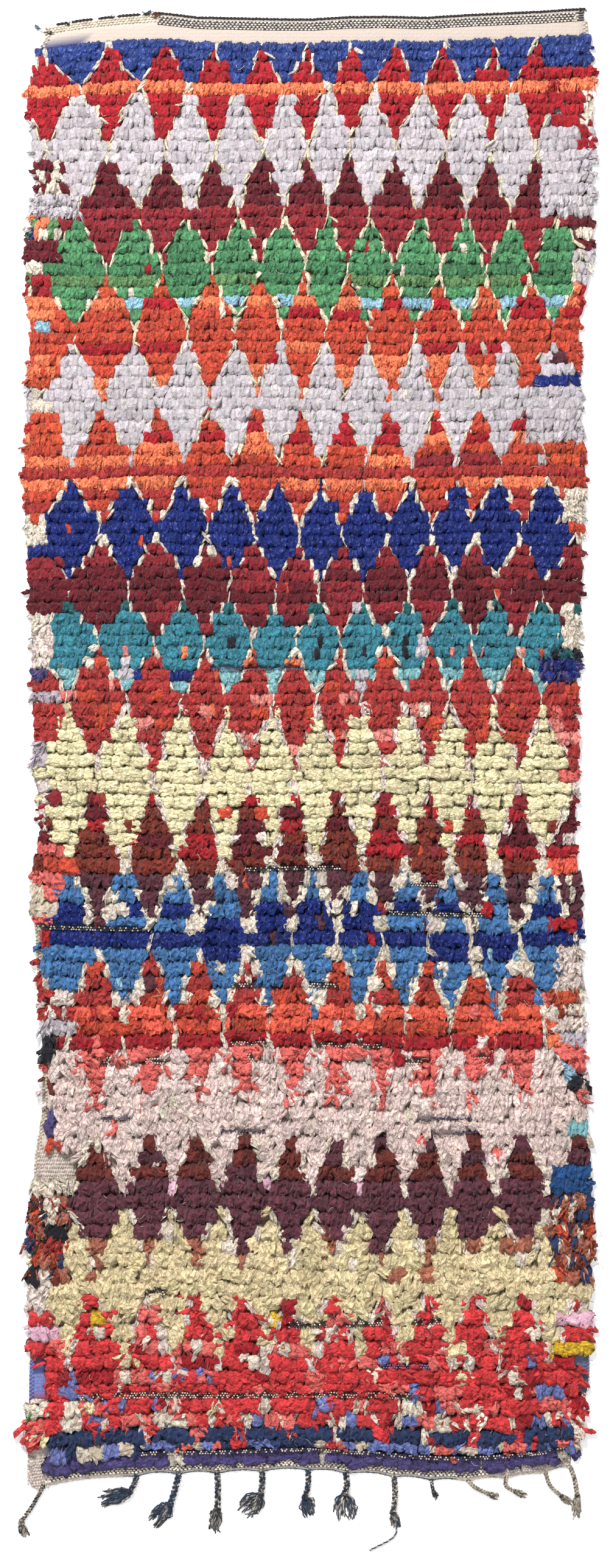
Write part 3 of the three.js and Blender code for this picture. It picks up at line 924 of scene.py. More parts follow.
def smooth_line(places, count):
    """Evenly placed points on a smooth line through a few places."""
    places = np.asarray(places, float)
    keys = np.concatenate([[0], np.cumsum(np.linalg.norm(np.diff(places, axis=0), axis=1))])
    padded = np.vstack([2 * places[0] - places[1], places, 2 * places[-1] - places[-2]])
    samples = []
    for t in np.linspace(0, keys[-1], count * 4):
        k = min(np.searchsorted(keys, t, side="right") - 1, len(places) - 2)
        s = (t - keys[k]) / max(keys[k + 1] - keys[k], 1e-9)
        a, b, c, d = padded[k : k + 4]
        curve = (2 * a - 5 * b + 4 * c - d) * s**2 + (3 * b - a - 3 * c + d) * s**3
        samples.append(0.5 * (2 * b + (c - a) * s + curve))
    samples = np.array(samples)
    run = np.concatenate([[0], np.cumsum(np.linalg.norm(np.diff(samples, axis=0), axis=1))])
    even = np.linspace(0, run[-1], count)
    return np.stack([np.interp(even, run, samples[:, k]) for k in range(samples.shape[1])], axis=1)


def along_and_aside(line):
    """The direction of a line at each of its points, and the direction across it on the floor."""
    along = np.gradient(line, axis=0)
    along /= np.linalg.norm(along, axis=1, keepdims=True)
    return along, np.stack([-along[:, 1], along[:, 0], np.zeros(len(along))], axis=1)


def add_node(tree, kind, inputs, **settings):
    """Adds a node with its settings. What is given for an input is a value, an output that it is
    linked to, or a node whose first output it is linked to."""
    node = tree.nodes.new(kind)
    for key, value in settings.items():
        setattr(node, key, value)
    for key, value in inputs.items():
        if isinstance(value, bpy.types.Node):
            value = value.outputs[0]
        if isinstance(value, bpy.types.NodeSocket):
            tree.links.new(value, node.inputs[key])
        else:
            node.inputs[key].default_value = value
    return node


def new_material(name):
    """An empty material and its node tree."""
    material = bpy.data.materials.new(name)
    material.use_nodes = True
    material.node_tree.nodes.clear()
    return material, material.node_tree


def cloth_material(cloth):
    """Crumpled rag cloth that takes its colour from the rags, with sharp folds along its lie and shade
    painted into its creases.
    """
    material, tree = new_material(cloth["name"])
    fold, knit = cloth["fold"] * MM, cloth["knit"] * MM
    lie = add_node(tree, "ShaderNodeUVMap", {}, uv_map="lie")
    colour = add_node(tree, "ShaderNodeVertexColor", {}, layer_name="rag_colour_and_shade")
    stir = add_node(tree, "ShaderNodeTexNoise", {"Vector": lie, "Scale": 0.7 / fold})
    reach = (0.9 * fold, 0.9 * fold, 0)
    stirring = {0: stir.outputs["Color"], 1: reach, 2: lie}
    stirred = add_node(tree, "ShaderNodeVectorMath", stirring, operation="MULTIPLY_ADD")
    scale = (1 / fold, 0.6 / fold, 1)
    stretched = add_node(tree, "ShaderNodeMapping", {"Vector": stirred, "Scale": scale})
    facets = add_node(tree, "ShaderNodeTexVoronoi", {"Vector": stretched, "Scale": 1}, feature="F1")
    creases = add_node(tree, "ShaderNodeTexNoise", {"Vector": stretched, "Scale": 0.9, "Detail": 2})
    middle = add_node(tree, "ShaderNodeMath", {0: creases, 1: 0.5}, operation="SUBTRACT")
    valley = add_node(tree, "ShaderNodeMath", {0: middle}, operation="ABSOLUTE")
    rounded = add_node(tree, "ShaderNodeMapRange", {"Value": valley, "From Max": 0.07})
    loops = add_node(tree, "ShaderNodeTexNoise", {"Vector": lie, "Scale": 1 / knit, "Detail": 2})
    uneven = add_node(tree, "ShaderNodeMath", {0: loops, 1: 0.12, 2: facets}, operation="MULTIPLY_ADD")
    height = add_node(tree, "ShaderNodeMath", {0: rounded, 1: 0.22, 2: uneven}, operation="MULTIPLY_ADD")
    depth = {"Height": height, "Strength": 1, "Distance": cloth["deep"] * MM}
    bump = add_node(tree, "ShaderNodeBump", depth)
    fading = add_node(tree, "ShaderNodeTexNoise", {"Vector": lie, "Scale": 1 / (9 * MM), "Detail": 3})
    worn = {"From Min": 0.3, "From Max": 0.7, "To Min": 1 - cloth["fade"], "To Max": 1 + cloth["fade"] * 0.6}
    amount = add_node(tree, "ShaderNodeMapRange", {"Value": fading, **worn})
    # Painted shade: the colour is darkened along the crease valleys of the folds, where shade would fall.
    folded = add_node(tree, "ShaderNodeMapRange", {"Value": rounded, "To Min": cloth["crease"]})
    shade = add_node(tree, "ShaderNodeMath", {0: amount, 1: folded}, operation="MULTIPLY")
    tint = add_node(tree, "ShaderNodeVectorMath", {0: colour, "Scale": shade}, operation="SCALE")
    surface = {
        "Base Color": tint,
        "Normal": bump,
        "Roughness": cloth["rough"],
        "Sheen Weight": cloth["sheen"],
        "Sheen Roughness": 0.5,
        "Specular IOR Level": cloth["gloss"],
    }
    shader = add_node(tree, "ShaderNodeBsdfPrincipled", surface)
    add_node(tree, "ShaderNodeOutputMaterial", {"Surface": shader})
    return material


def ground_material():
    """Woven wool ground: pale floats of weft over a dark warp, which shows between them."""
    material, tree = new_material("woven_wool_ground")
    grain = bpy.context.scene.runner_sizes.grain
    place = add_node(tree, "ShaderNodeTexCoord", {})
    colour = add_node(tree, "ShaderNodeVertexColor", {}, layer_name="weft_colour_and_shade")
    speckle = add_node(tree, "ShaderNodeAttribute", {}, attribute_name="speckle")
    floats = {"Vector": place.outputs["Object"], "Scale": (1 / grain, 0.4 / grain, 0)}
    cells = add_node(tree, "ShaderNodeMapping", floats)
    uneven = {"Vector": cells, "Scale": 1, "Randomness": 0.45}
    weave = add_node(tree, "ShaderNodeTexVoronoi", uneven, feature="F1")
    hole = add_node(tree, "ShaderNodeMapRange", {"Value": weave, "From Min": 0.42, "From Max": 0.56})
    dark = add_node(tree, "ShaderNodeMath", {0: hole, 1: speckle.outputs["Fac"]}, operation="MULTIPLY")
    both = {"Factor": dark, "A": colour, "B": (*COLOUR_OF["warp_dark"], 1)}
    mixed = add_node(tree, "ShaderNodeMix", both, data_type="RGBA")
    depth = {"Height": weave, "Strength": 0.8, "Distance": 1.0 * MM}
    bump = add_node(tree, "ShaderNodeBump", depth, invert=True)
    surface = {
        "Base Color": mixed.outputs["Result"],
        "Normal": bump,
        "Roughness": 0.95,
        "Sheen Weight": 0.3,
    }
    shader = add_node(tree, "ShaderNodeBsdfPrincipled", surface)
    add_node(tree, "ShaderNodeOutputMaterial", {"Surface": shader})
    return material


def columns_at(down):
    """How far across the lozenge columns are at a place down the cloth."""
    return [np.interp(down, COLUMN_PLACES, column) for column in COLUMNS]


def midway(places):
    """The places midway between neighbours."""
    return [(a + b) / 2 for a, b in zip(places, places[1:])]


def column_wave(across, down):
    """1 on each lozenge column and 0 midway between two, straight from one to the next."""
    places = columns_at(down)
    knots = sorted([(p, 1.0) for p in places] + [(m, 0.0) for m in midway(places)])
    return np.interp(across, *zip(*knots))


def band_at(across, down):
    """Which band of lozenges each place lies in: the number of zigzags above it."""
    share = column_wave(across, down)
    bands = np.zeros(len(across), int)
    for k, zigzag in enumerate(ZIGZAGS):
        reach = 1 - share if k % 2 else share
        edge = zigzag["peak"] + (zigzag["dip"] - zigzag["peak"]) * reach ** zigzag["bend"]
        bands += edge < down
    return bands


def knot_rows():
    """The rows of knots: where each starts and its middle is, with the sizes of its zone."""
    rows = []
    start = PILE_ZONES[0]["start"]
    while start < PILE_END - 8:
        zone = [z for z in PILE_ZONES if z["start"] <= start][-1]
        pitch = min(zone["pitch"], PILE_END - start)
        rows.append(dict(zone, start=start, pitch=pitch, middle=start + MIDDLE * pitch))
        start += pitch
    return rows


ROWS = knot_rows()


def snapped(down):
    """The start of the row of knots nearest to a place down the cloth."""
    return min((row["start"] for row in ROWS), key=lambda start: abs(start - down))


def stop_of_band(band, down):
    """What a band is tied with at a place down the cloth."""
    if down > LAST_ROW["down"]:
        return LAST_ROW
    return [stop for stop in BANDS[band] if stop["down"] <= down][-1]


def split_run(run, group, rng):
    """A run cut into shorter ones where its band is tied with many small rags."""
    parts = []
    at = run["left"]
    while at < run["right"]:
        end = at + group * rng.uniform(0.5, 1.6)
        end = run["right"] if run["right"] - end < group * 0.4 else end
        parts.append(dict(run, left=at, right=end))
        at = end
    return parts


def band_runs(row, rng):
    """The bands that a row crosses, each from its ragged left edge to its right one."""
    left, right = (float(edge_at(side, row["middle"])) for side in ("left", "right"))
    across = np.arange(left, right, 1.0)
    bands = band_at(across, row["middle"])
    cuts = [0, *(np.flatnonzero(np.diff(bands)) + 1), len(across)]
    runs = [
        dict(left=float(across[a]), right=float(across[b - 1]) + 1, band=int(bands[a]), lean=(0, 0))
        for a, b in zip(cuts, cuts[1:])
    ]
    for before, after in zip(runs, runs[1:]):
        if min(before["right"] - before["left"], after["right"] - after["left"]) > RUN_RAGGED:
            before["right"] = after["left"] = after["left"] + rng.normal(0, RAGGED)
    if row["middle"] > LAST_ROW["down"]:
        return [dict(left=left, right=right, band=LAST_BAND, lean=(0, 0))]
    return runs


def outline_runs(runs, rng):
    """The runs of a row, leaning along the zigzags beside them, with those that outline these between."""
    outlined = []
    for k, run in enumerate(runs):
        before = runs[k - 1]["band"] if k else run["band"]
        after = runs[k + 1]["band"] if k + 1 < len(runs) else run["band"]
        slopes = (SLOPE * np.sign(before - run["band"]), SLOPE * np.sign(run["band"] - after))
        run = dict(run, lean=slopes)
        if k:
            zigzag = ZIGZAGS[max(run["band"], before) - 1]
            if rng.random() < zigzag["share"]:
                half = zigzag["wide"] * rng.uniform(0.55, 1.35) / 2
                edge = run["left"] + rng.uniform(-3, 3)
                outlined[-1]["right"] = edge - half
                run["left"] = edge + half
                turn = slopes[0] * rng.uniform(0.1, 1)
                sliver = dict(left=edge - half, right=edge + half, band=OUTLINING, lean=(turn, turn))
                outlined.append(dict(sliver, rag=zigzag["edging"]))
        outlined.append(run)
    return outlined


def runs_of_row(row, rng):
    """The runs of knots in a row: where each begins and ends across, its rag, and how it leans."""
    tied = []
    for run in outline_runs(band_runs(row, rng), rng):
        if run["band"] == OUTLINING:
            tied.append(run)
        elif run["right"] - run["left"] > RUN_LEAST:
            stop = stop_of_band(run["band"], row["middle"])
            for part in split_run(run, stop["group"], rng) if "group" in stop else [run]:
                tied.append(dict(part, rag=rng.choice(stop["rags"].split())))
    return add_spines(tied, row["middle"], rng)


def add_spines(runs, middle, rng):
    """Joins the tip of one lozenge to the tip of the next below it with pale knots."""
    for k, (above, below) in enumerate(zip(ZIGZAGS, ZIGZAGS[1:])):
        if not above["dip"] < middle < below["peak"] or above["share"] <= 0.5:
            continue
        places = columns_at(middle)
        for place in midway(places) if k % 2 else places:
            if runs[0]["left"] < place < runs[-1]["right"] and rng.random() < above["share"]:
                half = rng.uniform(4, 7) / 2
                spine = dict(left=place - half, right=place + half, band=OUTLINING, lean=(0, 0))
                runs = cut_out(runs, dict(spine, rag=above["edging"]))
    return runs


def cut_out(runs, extra):
    """The runs with one more laid among them in place of what was there."""
    kept = []
    for run in runs:
        if run["right"] <= extra["left"] or run["left"] >= extra["right"]:
            kept.append(run)
            continue
        if run["left"] < extra["left"] - 2:
            kept.append(dict(run, right=extra["left"]))
        if run["right"] > extra["right"] + 2:
            kept.append(dict(run, left=extra["right"]))
    return sorted([*kept, extra], key=lambda run: run["left"])


def patch_at(across, down):
    """The patch that a place lies in, if any."""
    for patch in PATCHES:
        if patch["left"] <= across <= patch["right"] and patch["start"] <= down <= patch["end"]:
            return patch
    return None


def is_bare(patch):
    """Whether a patch, if there is one, was left without rags."""
    return patch is not None and patch["lie"] == "bare"


def fleck_at(down, rng):
    """The rag of a stray knot, where there is one."""
    for fleck in FLECKS:
        if fleck["start"] <= down < fleck["end"] and rng.random() < fleck["share"]:
            return rng.choice(fleck["rags"].split())
    return None


def weave_line_under(across, down, pitch):
    """Whether the weave shows just below a row, so that the rag ends over it are short."""
    return any(
        line["left"] < across < line["right"] and 0 <= snapped(line["down"]) - down < 1.4 * pitch
        for line in WEAVE_LINES
    )


def plan_knots(rng):
    """Every rag end of the pile as a row of a table: place, size, lean, colour and finish."""
    knots = []
    for index, row in enumerate(ROWS):
        edges = (edge_at("left", row["middle"]), edge_at("right", row["middle"]))
        runs = runs_of_row(row, rng)
        knots.extend(edge_tufts(index, row, edges, runs, rng))
        for run in runs:
            tone = rng.normal(1, 0.05)
            lie = LIE_OF.get(run["rag"], LIE_OF["plain"])
            wide = run["right"] - run["left"]
            knot = row["knot"] * lie["knot"]
            count = max(1, round(wide / knot))
            for k in range(count):
                place = (k + 0.5) / count
                across = run["left"] + wide * place + rng.normal(0, 0.1) * knot
                near = np.clip(1 - np.array([place, 1 - place]) * wide / LEAN_REACH, 0, 1)
                lean = near[0] * run["lean"][0] + near[1] * run["lean"][1] + rng.normal(0, lie["stray"])
                patch = patch_at(across, row["middle"])
                if is_bare(patch):
                    continue
                rag = rng.choice(patch["rags"].split()) if patch else run["rag"]
                if not patch and rag not in ("night", "purple"):
                    rag = fleck_at(row["middle"], rng) or rag
                rim = min(across - edges[0], edges[1] - across)
                tie = dict(row=index, across=across, lean=lean, rag=rag, tone=tone, rim=rim)
                knots.append(tied_end(tie, row, run, wide / count, lie, rng))
                cut = LIE_OF["fluff"] if patch and patch["lie"] == "fluff" else lie
                if cut["strips"]:
                    knots.extend(fine_ends(knots[-1], cut, patch, rng))
    return knots


def tied_end(tie, row, run, wide, lie, rng):
    """One rag end with its own size and form. Those of the hem are long, low and start higher up."""
    close, hem = row["form"] == "short", row is ROWS[-1]
    sliver = run["band"] == OUTLINING
    cut = HEM_LONG if hem else 1
    if weave_line_under(tie["across"], row["start"] + 1, row["pitch"]):
        cut = OVER_WEAVE
    shift = rng.normal(0, 0.09 if close else 0.05) * row["pitch"]
    spread = OUTLINE_SPREAD if sliver and close else KNOT_SPREAD
    wide = max(wide, RAG_NARROWEST) * spread * rng.uniform(0.7, 1.3)
    long = max(row["pitch"], RAG_SHORTEST) * lie["long"] * cut
    long = long * rng.uniform(0.9, 1.14) * (OUTLINE_LONG if sliver else 1)
    rise = 0.93 + 0.04 * lie["rough"] + lie["rough"] * rng.uniform(-0.17, 0.17)
    return dict(
        tie,
        across=tie["across"] - math.sin(tie["lean"]) * MIDDLE * row["pitch"],
        down=row["start"] - HEM_RISE * hem + shift,
        pitch=row["pitch"],
        wide=wide,
        long=long,
        high=row["crest"] * rise * (0.55 + 0.45 * min(1, tie["rim"] / RIM_FADE)) * (HEM_LOW if hem else 1),
        rough=lie["rough"],
        tone=tie["tone"] * rng.normal(1, 0.08),
        form="short" if close else lie["form"] or row["form"],
    )


def edge_tufts(index, row, edges, runs, rng):
    """Rag ends that stick out past both side edges of a row."""
    tufts = []
    for edge, sign, run in ((edges[0], -1, runs[0]), (edges[1], 1, runs[-1])):
        patch = patch_at(edge - sign * 16, row["middle"])
        for _ in range(0 if is_bare(patch) else rng.integers(0, 4)):
            tuft = dict(
                row=index,
                across=edge - sign * rng.uniform(3, 10),
                down=row["start"] + rng.uniform(0, 0.7) * row["pitch"],
                wide=rng.uniform(5, 12),
                long=rng.uniform(10, 17),
                high=row["crest"] * rng.uniform(0.4, 0.75),
                rough=1.0,
                lean=sign * rng.uniform(0.3, 1.5),
                rag=rng.choice(patch["rags"].split()) if patch else run["rag"],
                tone=rng.normal(1, 0.08),
                form="shred",
            )
            tufts.append(tuft)
    return tufts


def fine_ends(knot, lie, patch, rng):
    """A rag end cut into several narrower strips."""
    rags = patch["rags"].split() if patch else [knot["rag"]]
    reach = 0.35 if lie["sweep"] < 0.8 else 0.8
    return [
        dict(
            knot,
            across=knot["across"] + rng.uniform(-0.5, 0.5) * knot["wide"],
            down=knot["down"] + rng.uniform(-0.1, reach) * knot["pitch"],
            wide=rng.uniform(*lie["strip"]),
            long=knot["long"] * rng.uniform(0.75, 1.05),
            high=knot["high"] * rng.uniform(0.8, 1.15),
            lean=knot["lean"] + rng.choice([-1, 1]) * rng.uniform(0.3, 1.2) * lie["sweep"],
            rag=rng.choice(rags),
            tone=knot["tone"] * rng.uniform(0.8, 1.2),
            form="shred",
        )
        for _ in range(lie["strips"])
    ]


class RUNNER_OT_ground(Operator):
    """Lays the woven ground: one thin sheet with the cloth's own outline"""

    bl_idname = "runner.lay_ground"
    bl_label = "Lay woven ground"

    def execute(self, context):
        clear_selection()
        wide, long = GROUND_FACES
        bpy.ops.mesh.primitive_grid_add(x_subdivisions=wide, y_subdivisions=long, size=2, location=(0, 0, 0))
        ground = context.object
        ground.name = ground.data.name = "woven_ground"
        mesh = ground.data
        points = np.array([v.co for v in mesh.vertices])
        down = (1 - points[:, 1]) / 2 * LENGTH
        share = (points[:, 0] + 1) / 2
        across = edge_at("left", down) * (1 - share) + edge_at("right", down) * share
        x, y = to_frame(across, down)
        rng = np.random.default_rng(11)
        lumps = 0.35 * np.sin(across / 7.3) * np.sin(down / 5.1) + rng.normal(0, 0.12, len(x))
        placed = np.stack([x, y, WEAVE_THICK + lumps], axis=1) * MM
        mesh.vertices.foreach_set("co", placed.ravel())
        mesh.update()
        thick = ground.modifiers.new("thick", "SOLIDIFY")
        thick.thickness = (WEAVE_THICK - 0.8) * MM
        thick.offset = -1
        context.view_layer.objects.active = ground
        bpy.ops.object.modifier_apply(modifier=thick.name)
        colours = colours_now()
        mesh = ground.data
        tints, gaps = zip(*(ground_tint(v.co, colours) for v in mesh.vertices))
        weft = mesh.color_attributes.new("weft_colour_and_shade", "FLOAT_COLOR", "POINT")
        weft.data.foreach_set("color", np.ravel(tints))
        speckle = mesh.attributes.new("speckle", "FLOAT", "POINT")
        speckle.data.foreach_set("value", gaps)
        mesh.materials.append(ground_material())
        mesh.shade_smooth()
        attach(ground, "root")
        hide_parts("runner_body")
        return {"FINISHED"}


def ground_tint(place, colours):
    """The ground's colour at a place, that of the rags over it, darkened as painted shade, or of bare cloth,
    and how open it is.
    """
    across = place.x / MM - CENTRE_LINE
    down = UPPER_LINE - place.y / MM
    patch = patch_at(across, down)
    if is_bare(patch):
        return (*(colours[patch["rags"]] * 1.15), 1), 0.35
    # Painted light and shade: the bare canvas is painted darker at the upper end, to take back the brighter
    # light there, and lighter at the lower end, to lift the shade there.
    if down < PILE_ZONES[0]["start"] + 4 or down > PILE_END - 4:
        return (*(colours["canvas"] * (0.78 if down < 100 else 1.1)), 1), 0.0
    band = int(band_at(np.array([across]), down)[0])
    shown = colours[stop_of_band(band, down)["rags"].split()[0]]
    # Painted shade: under the pile the ground takes its band's rag colour, darkened as shade between the rag
    # ends, less so under pale rags.
    return (*(shown * (0.85 if shown.min() > 0.4 else 0.6)), 1), 0.0


class RUNNER_OT_pile(Operator):
    """Ties the rag pile: rows of torn rag ends knotted through the ground, in lozenge bands"""

    bl_idname = "runner.knot_pile"
    bl_label = "Knot rag pile"

    def execute(self, context):
        sizes = context.scene.runner_sizes
        colours = colours_now()
        shapes = {}
        for row in RAG_FORMS:
            kind, seed = row["form"], row["seed"]
            look = [row[key] for key in ("profile", "across", "along", "pleats", "folds", "uneven")]
            shapes[kind] = [model_rag_end(*look, seed + k) for k in range(SHAPES_EACH)]
        rng = np.random.default_rng(4)
        knots = plan_knots(rng)
        last = knots[-1]["row"] + 1
        for part in range(PILE_PIECES):
            low, high = part * last // PILE_PIECES, (part + 1) * last // PILE_PIECES
            heap = Heap()
            for kind, forms in shapes.items():
                chosen = [k for k in knots if low <= k["row"] < high and k["form"] == kind]
                for n, form in enumerate(forms):
                    some = chosen[n :: len(forms)]
                    if some:
                        add_knots(heap, form, some, sizes, colours, rng)
            piece = heap.build(f"rag_pile_{part + 1}")
            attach(piece, "root")
            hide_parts("runner_body")
        return {"FINISHED"}


def spread_form(form, across, down, wide, long, turn):
    """Copies of a form turned and laid on the cloth: their points on the floor, and on the form."""
    u = form["points"][None, :, 0] * np.reshape(wide, (-1, 1))
    v = form["points"][None, :, 1] * np.reshape(long, (-1, 1))
    cos, sin = np.cos(turn)[:, None], np.sin(turn)[:, None]
    x, y = to_frame(across, down)
    return x[:, None] + u * cos - v * sin, y[:, None] + u * sin + v * cos, u, v


def add_knots(heap, form, knots, sizes, colours, rng):
    """Adds one copy of a rag end for each knot, at its size, lean and colour, with painted shade at its root.
    """
    keys = ("across", "down", "wide", "long", "high", "lean", "tone", "rough")
    columns = [np.array([k[key] for k in knots], float) for key in keys]
    across, down, wide, long, high, lean, tone, rough = columns
    x, y, u, v = spread_form(form, across, down, wide, -long * sizes.rag_length, lean)
    base = WEAVE_THICK - 0.6 + rng.normal(0, 0.7, len(knots))[:, None]
    z = base + form["points"][None, :, 2] * (high * sizes.crest)[:, None] * PRESSED
    kind = knots[0]["form"]
    crumple = sizes.crumple / MM * {"short": 0.5, "folded": 0.7}.get(kind, 1) * rough[:, None, None]
    points = np.stack([x, y, z], axis=2) + rng.normal(0, 1, z.shape + (3,)) * (0.6, 0.6, 1) * crumple
    points[:, :, 2] = np.clip(points[:, :, 2], PILE_FLOOR, PILE_CEILING)
    dyed = np.array([colours[k["rag"]] for k in knots]) * tone[:, None]
    drift = 1 + rng.normal(0, 0.013, (len(knots), 3))
    # Painted shade: each rag end is darker at its root, its drooping tip and its sunk pleats, and a little
    # lighter on raised ones; the rougher the rag, the deeper this shade.
    sunk = np.clip(form["sunk"], -0.4, 0.2)
    shade = np.interp(form["points"][:, 1], (0, 0.2, 0.9, 1), (0.4, 1, 1, 0.85)) * (1 + 0.6 * sunk)
    depth = np.clip(0.3 + rough, 0, 1)[:, None]
    shown = np.clip(dyed * drift, 0, 1)[:, None, :] * (1 - depth * (1 - shade))[:, :, None]
    shown *= 1 + rng.normal(0, 0.05, shown.shape[:2])[:, :, None]
    offset = rng.uniform(0, 400, (len(knots), 1, 2))
    lie = (np.stack([-v, u] if kind == "folded" else [u, -v], axis=2) + offset) * MM
    finish = [FINISH_OF[k["rag"]] for k in knots]
    heap.add(form, points * MM, np.clip(shown, 0, 1), finish, lie, smooth=kind == "folded")


def add_floats(heap, form, across, down, size, level, turn, shown, rng):
    """Floats of weft of one width, length and height each, turned and laid at a level."""
    wide, long, high = size
    x, y, u, v = spread_form(form, across, down, wide, long, turn)
    z = level + form["points"][None, :, 2] * np.reshape(high, (-1, 1)) + np.zeros_like(x)
    lie = np.stack([u, v], axis=2) + rng.uniform(0, 300, (len(turn), 1, 2))
    points = np.stack([x, y, z], axis=2) * MM
    heap.add(form, points, np.clip(shown, 0, 1), np.full(len(turn), WOOL), lie * MM)


class RUNNER_OT_end_weave(Operator):
    """Works the bare weave at both ends: floats of pale weft with the dark warp between them"""

    bl_idname = "runner.weave_ends"
    bl_label = "Weave ends"

    def execute(self, context):
        colours = colours_now()
        form = model_grain()
        rng = np.random.default_rng(21)
        heap = Heap()
        for strip in END_STRIPS:
            add_strip(heap, form, strip, colours, rng)
            if strip["kind"] == "open":
                add_warp(heap, strip, colours)
        for line in WEAVE_LINES:
            start = snapped(line["down"]) + 1 - 2 * line["lines"]
            end = start + 4 * line["lines"] - 1
            strip = dict(line, kind="open", start=start, end=end, wide=4.8, long=4, level=LINE_LEVEL)
            add_strip(heap, form, strip, colours, rng)
        piece = heap.build("end_weave")
        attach(piece, "root")
        return {"FINISHED"}


def add_strip(heap, form, strip, colours, rng):
    """Floats of weft in staggered lines over one strip of bare weave."""
    ribbed = strip["kind"] == "ribbed"
    fill = strip.get("fill", 0.8)
    places = []
    for n, line in enumerate(np.arange(strip["start"], strip["end"], strip["long"])):
        low = max(strip["left"], float(edge_at("left", line)) + 2)
        high = min(strip["right"], float(edge_at("right", line)) - 2)
        run = np.arange(low + (n % 2) * strip["wide"] / 2, high, strip["wide"])
        places.append(np.stack([run, np.full(len(run), line)], axis=1))
    places = np.concatenate(places)
    places += rng.normal(0, 0.07, places.shape) * (strip["wide"], strip["long"])
    count = len(places)
    yarns = rng.choice(strip["yarns"].split(), count)
    shown = np.array([colours[y] for y in yarns]) * rng.normal(strip.get("tone", 1), 0.08, (count, 1))
    wide = strip["wide"] * (1.1 if ribbed else fill) * rng.uniform(0.9, 1.1, count)
    long = strip["long"] * (1.3 if ribbed else 0.12 + fill) * rng.uniform(0.9, 1.15, count)
    high = (1.6 if ribbed else 3.0) * rng.uniform(0.85, 1.15, count)
    turn = rng.normal(0, 0.08 if ribbed else 0.2, count)
    level = strip.get("level", WEAVE_THICK + 0.4)
    add_floats(heap, form, places[:, 0], places[:, 1], (wide, long, high), level, turn, shown, rng)


def add_warp(heap, strip, colours):
    """The dark warp that shows between the floats of an open strip, one flat line under each row."""
    steps = 80
    form = model_yarn(4, steps)
    across = np.linspace(strip["left"] - 1, strip["right"] + 1, steps + 1)
    for line in np.arange(strip["start"], strip["end"], strip["long"]):
        x, y = to_frame(across, np.full(steps + 1, line))
        path = np.stack([x, y, np.full(steps + 1, WEAVE_THICK + 0.3)], axis=1)
        lay_yarn(heap, form, path, strip["long"] * 0.45, colours["warp_dark"] * 1.7, flatten=0.2)


class RUNNER_OT_selvedges(Operator):
    """Wraps both side edges: a chain of thick floats over the outermost warps"""

    bl_idname = "runner.wrap_selvedges"
    bl_label = "Wrap selvedges"

    def execute(self, context):
        colours = colours_now()
        form = model_grain()
        rng = np.random.default_rng(31)
        heap = Heap()
        for side, sign in (("left", -1), ("right", 1)):
            for line in range(2):
                down = np.arange(6, LENGTH - 6, WRAP_STEP) + line * WRAP_STEP / 2
                across = edge_at(side, down) - sign * (WRAP_INSET + WRAP_LINES * line)
                patches = [patch_at(a, d) for a, d in zip(across, down)]
                yarns = [patch["rags"] if is_bare(patch) else "beige" for patch in patches]
                shown = np.array([colours[y] for y in yarns]) * rng.normal(1, 0.08, (len(down), 1))
                turn = sign * (WRAP_LEAN if line else -WRAP_LEAN) + rng.normal(0, 0.1, len(down))
                add_floats(heap, form, across, down, WRAP_FLOAT, WRAP_LEVEL, turn, shown, rng)
        piece = heap.build("selvedge_wrap")
        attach(piece, "root")
        return {"FINISHED"}


class RUNNER_OT_edging(Operator):
    """Twines the edging: two dark plies turned around each other along the upper end"""

    bl_idname = "runner.twine_edging"
    bl_label = "Twine edging"

    def execute(self, context):
        sizes = context.scene.runner_sizes
        colours = colours_now()
        ply, turn = sizes.edging_ply / MM, sizes.edging_turn / MM
        heap = Heap()
        rng = np.random.default_rng(41)
        step = turn / 7
        for run in EDGING_RUNS:
            steps = max(4, round((run["right"] - run["left"]) / step))
            form = model_yarn(6, steps)
            across = np.linspace(run["left"], run["right"], steps + 1)
            x, y = to_frame(across, np.zeros(steps + 1))
            wander = rng.normal(0, 0.25, steps + 1)
            ends = np.minimum(across - across[0], across[-1] - across)
            worn = 0.75 + 0.25 * np.minimum(1, ends / 8)
            for strand in range(2):
                around = FULL_TURN * across / turn + strand * HALF_TURN
                aside = y + EDGING_BEYOND + EDGING_SWING * np.cos(around) + wander
                path = np.stack([x, aside, EDGING_LEVEL + EDGING_SWING * np.sin(around)], axis=1)
                thick = ply * worn * rng.normal(1, 0.06, steps + 1)
                lay_yarn(heap, form, path, thick, colours["edging_dark"] * (1.0 if strand else 0.7))
        add_frays(heap, colours, rng)
        piece = heap.build("twined_edging")
        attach(piece, "root")
        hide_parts("edging_cord")
        return {"FINISHED"}


def add_frays(heap, colours, rng):
    """Clumps of short broken yarn ends."""
    form = model_yarn(4, 4)
    for fray in FRAYS:
        x, y = to_frame(fray["across"], fray["down"])
        for _ in range(fray["count"]):
            start = np.array([x, y, 3.5]) + rng.normal(0, 0.35, 3) * (fray["spread"], fray["spread"] * 0.6, 1)
            way = rng.uniform(0, FULL_TURN)
            reach = rng.uniform(4, 10)
            end = start + np.array([math.cos(way) * reach, math.sin(way) * reach * 0.6, rng.uniform(-1, 2)])
            bend = (start + end) / 2 + rng.normal(0, 1.6, 3)
            path = smooth_line([start, bend, end], 5)
            path[:, 2] = np.clip(path[:, 2], 1, 8)
            tone = rng.uniform(0.6, 1.3)
            lay_yarn(heap, form, path, np.linspace(1.1, 0.5, 5), colours[fray["yarn"]] * tone)


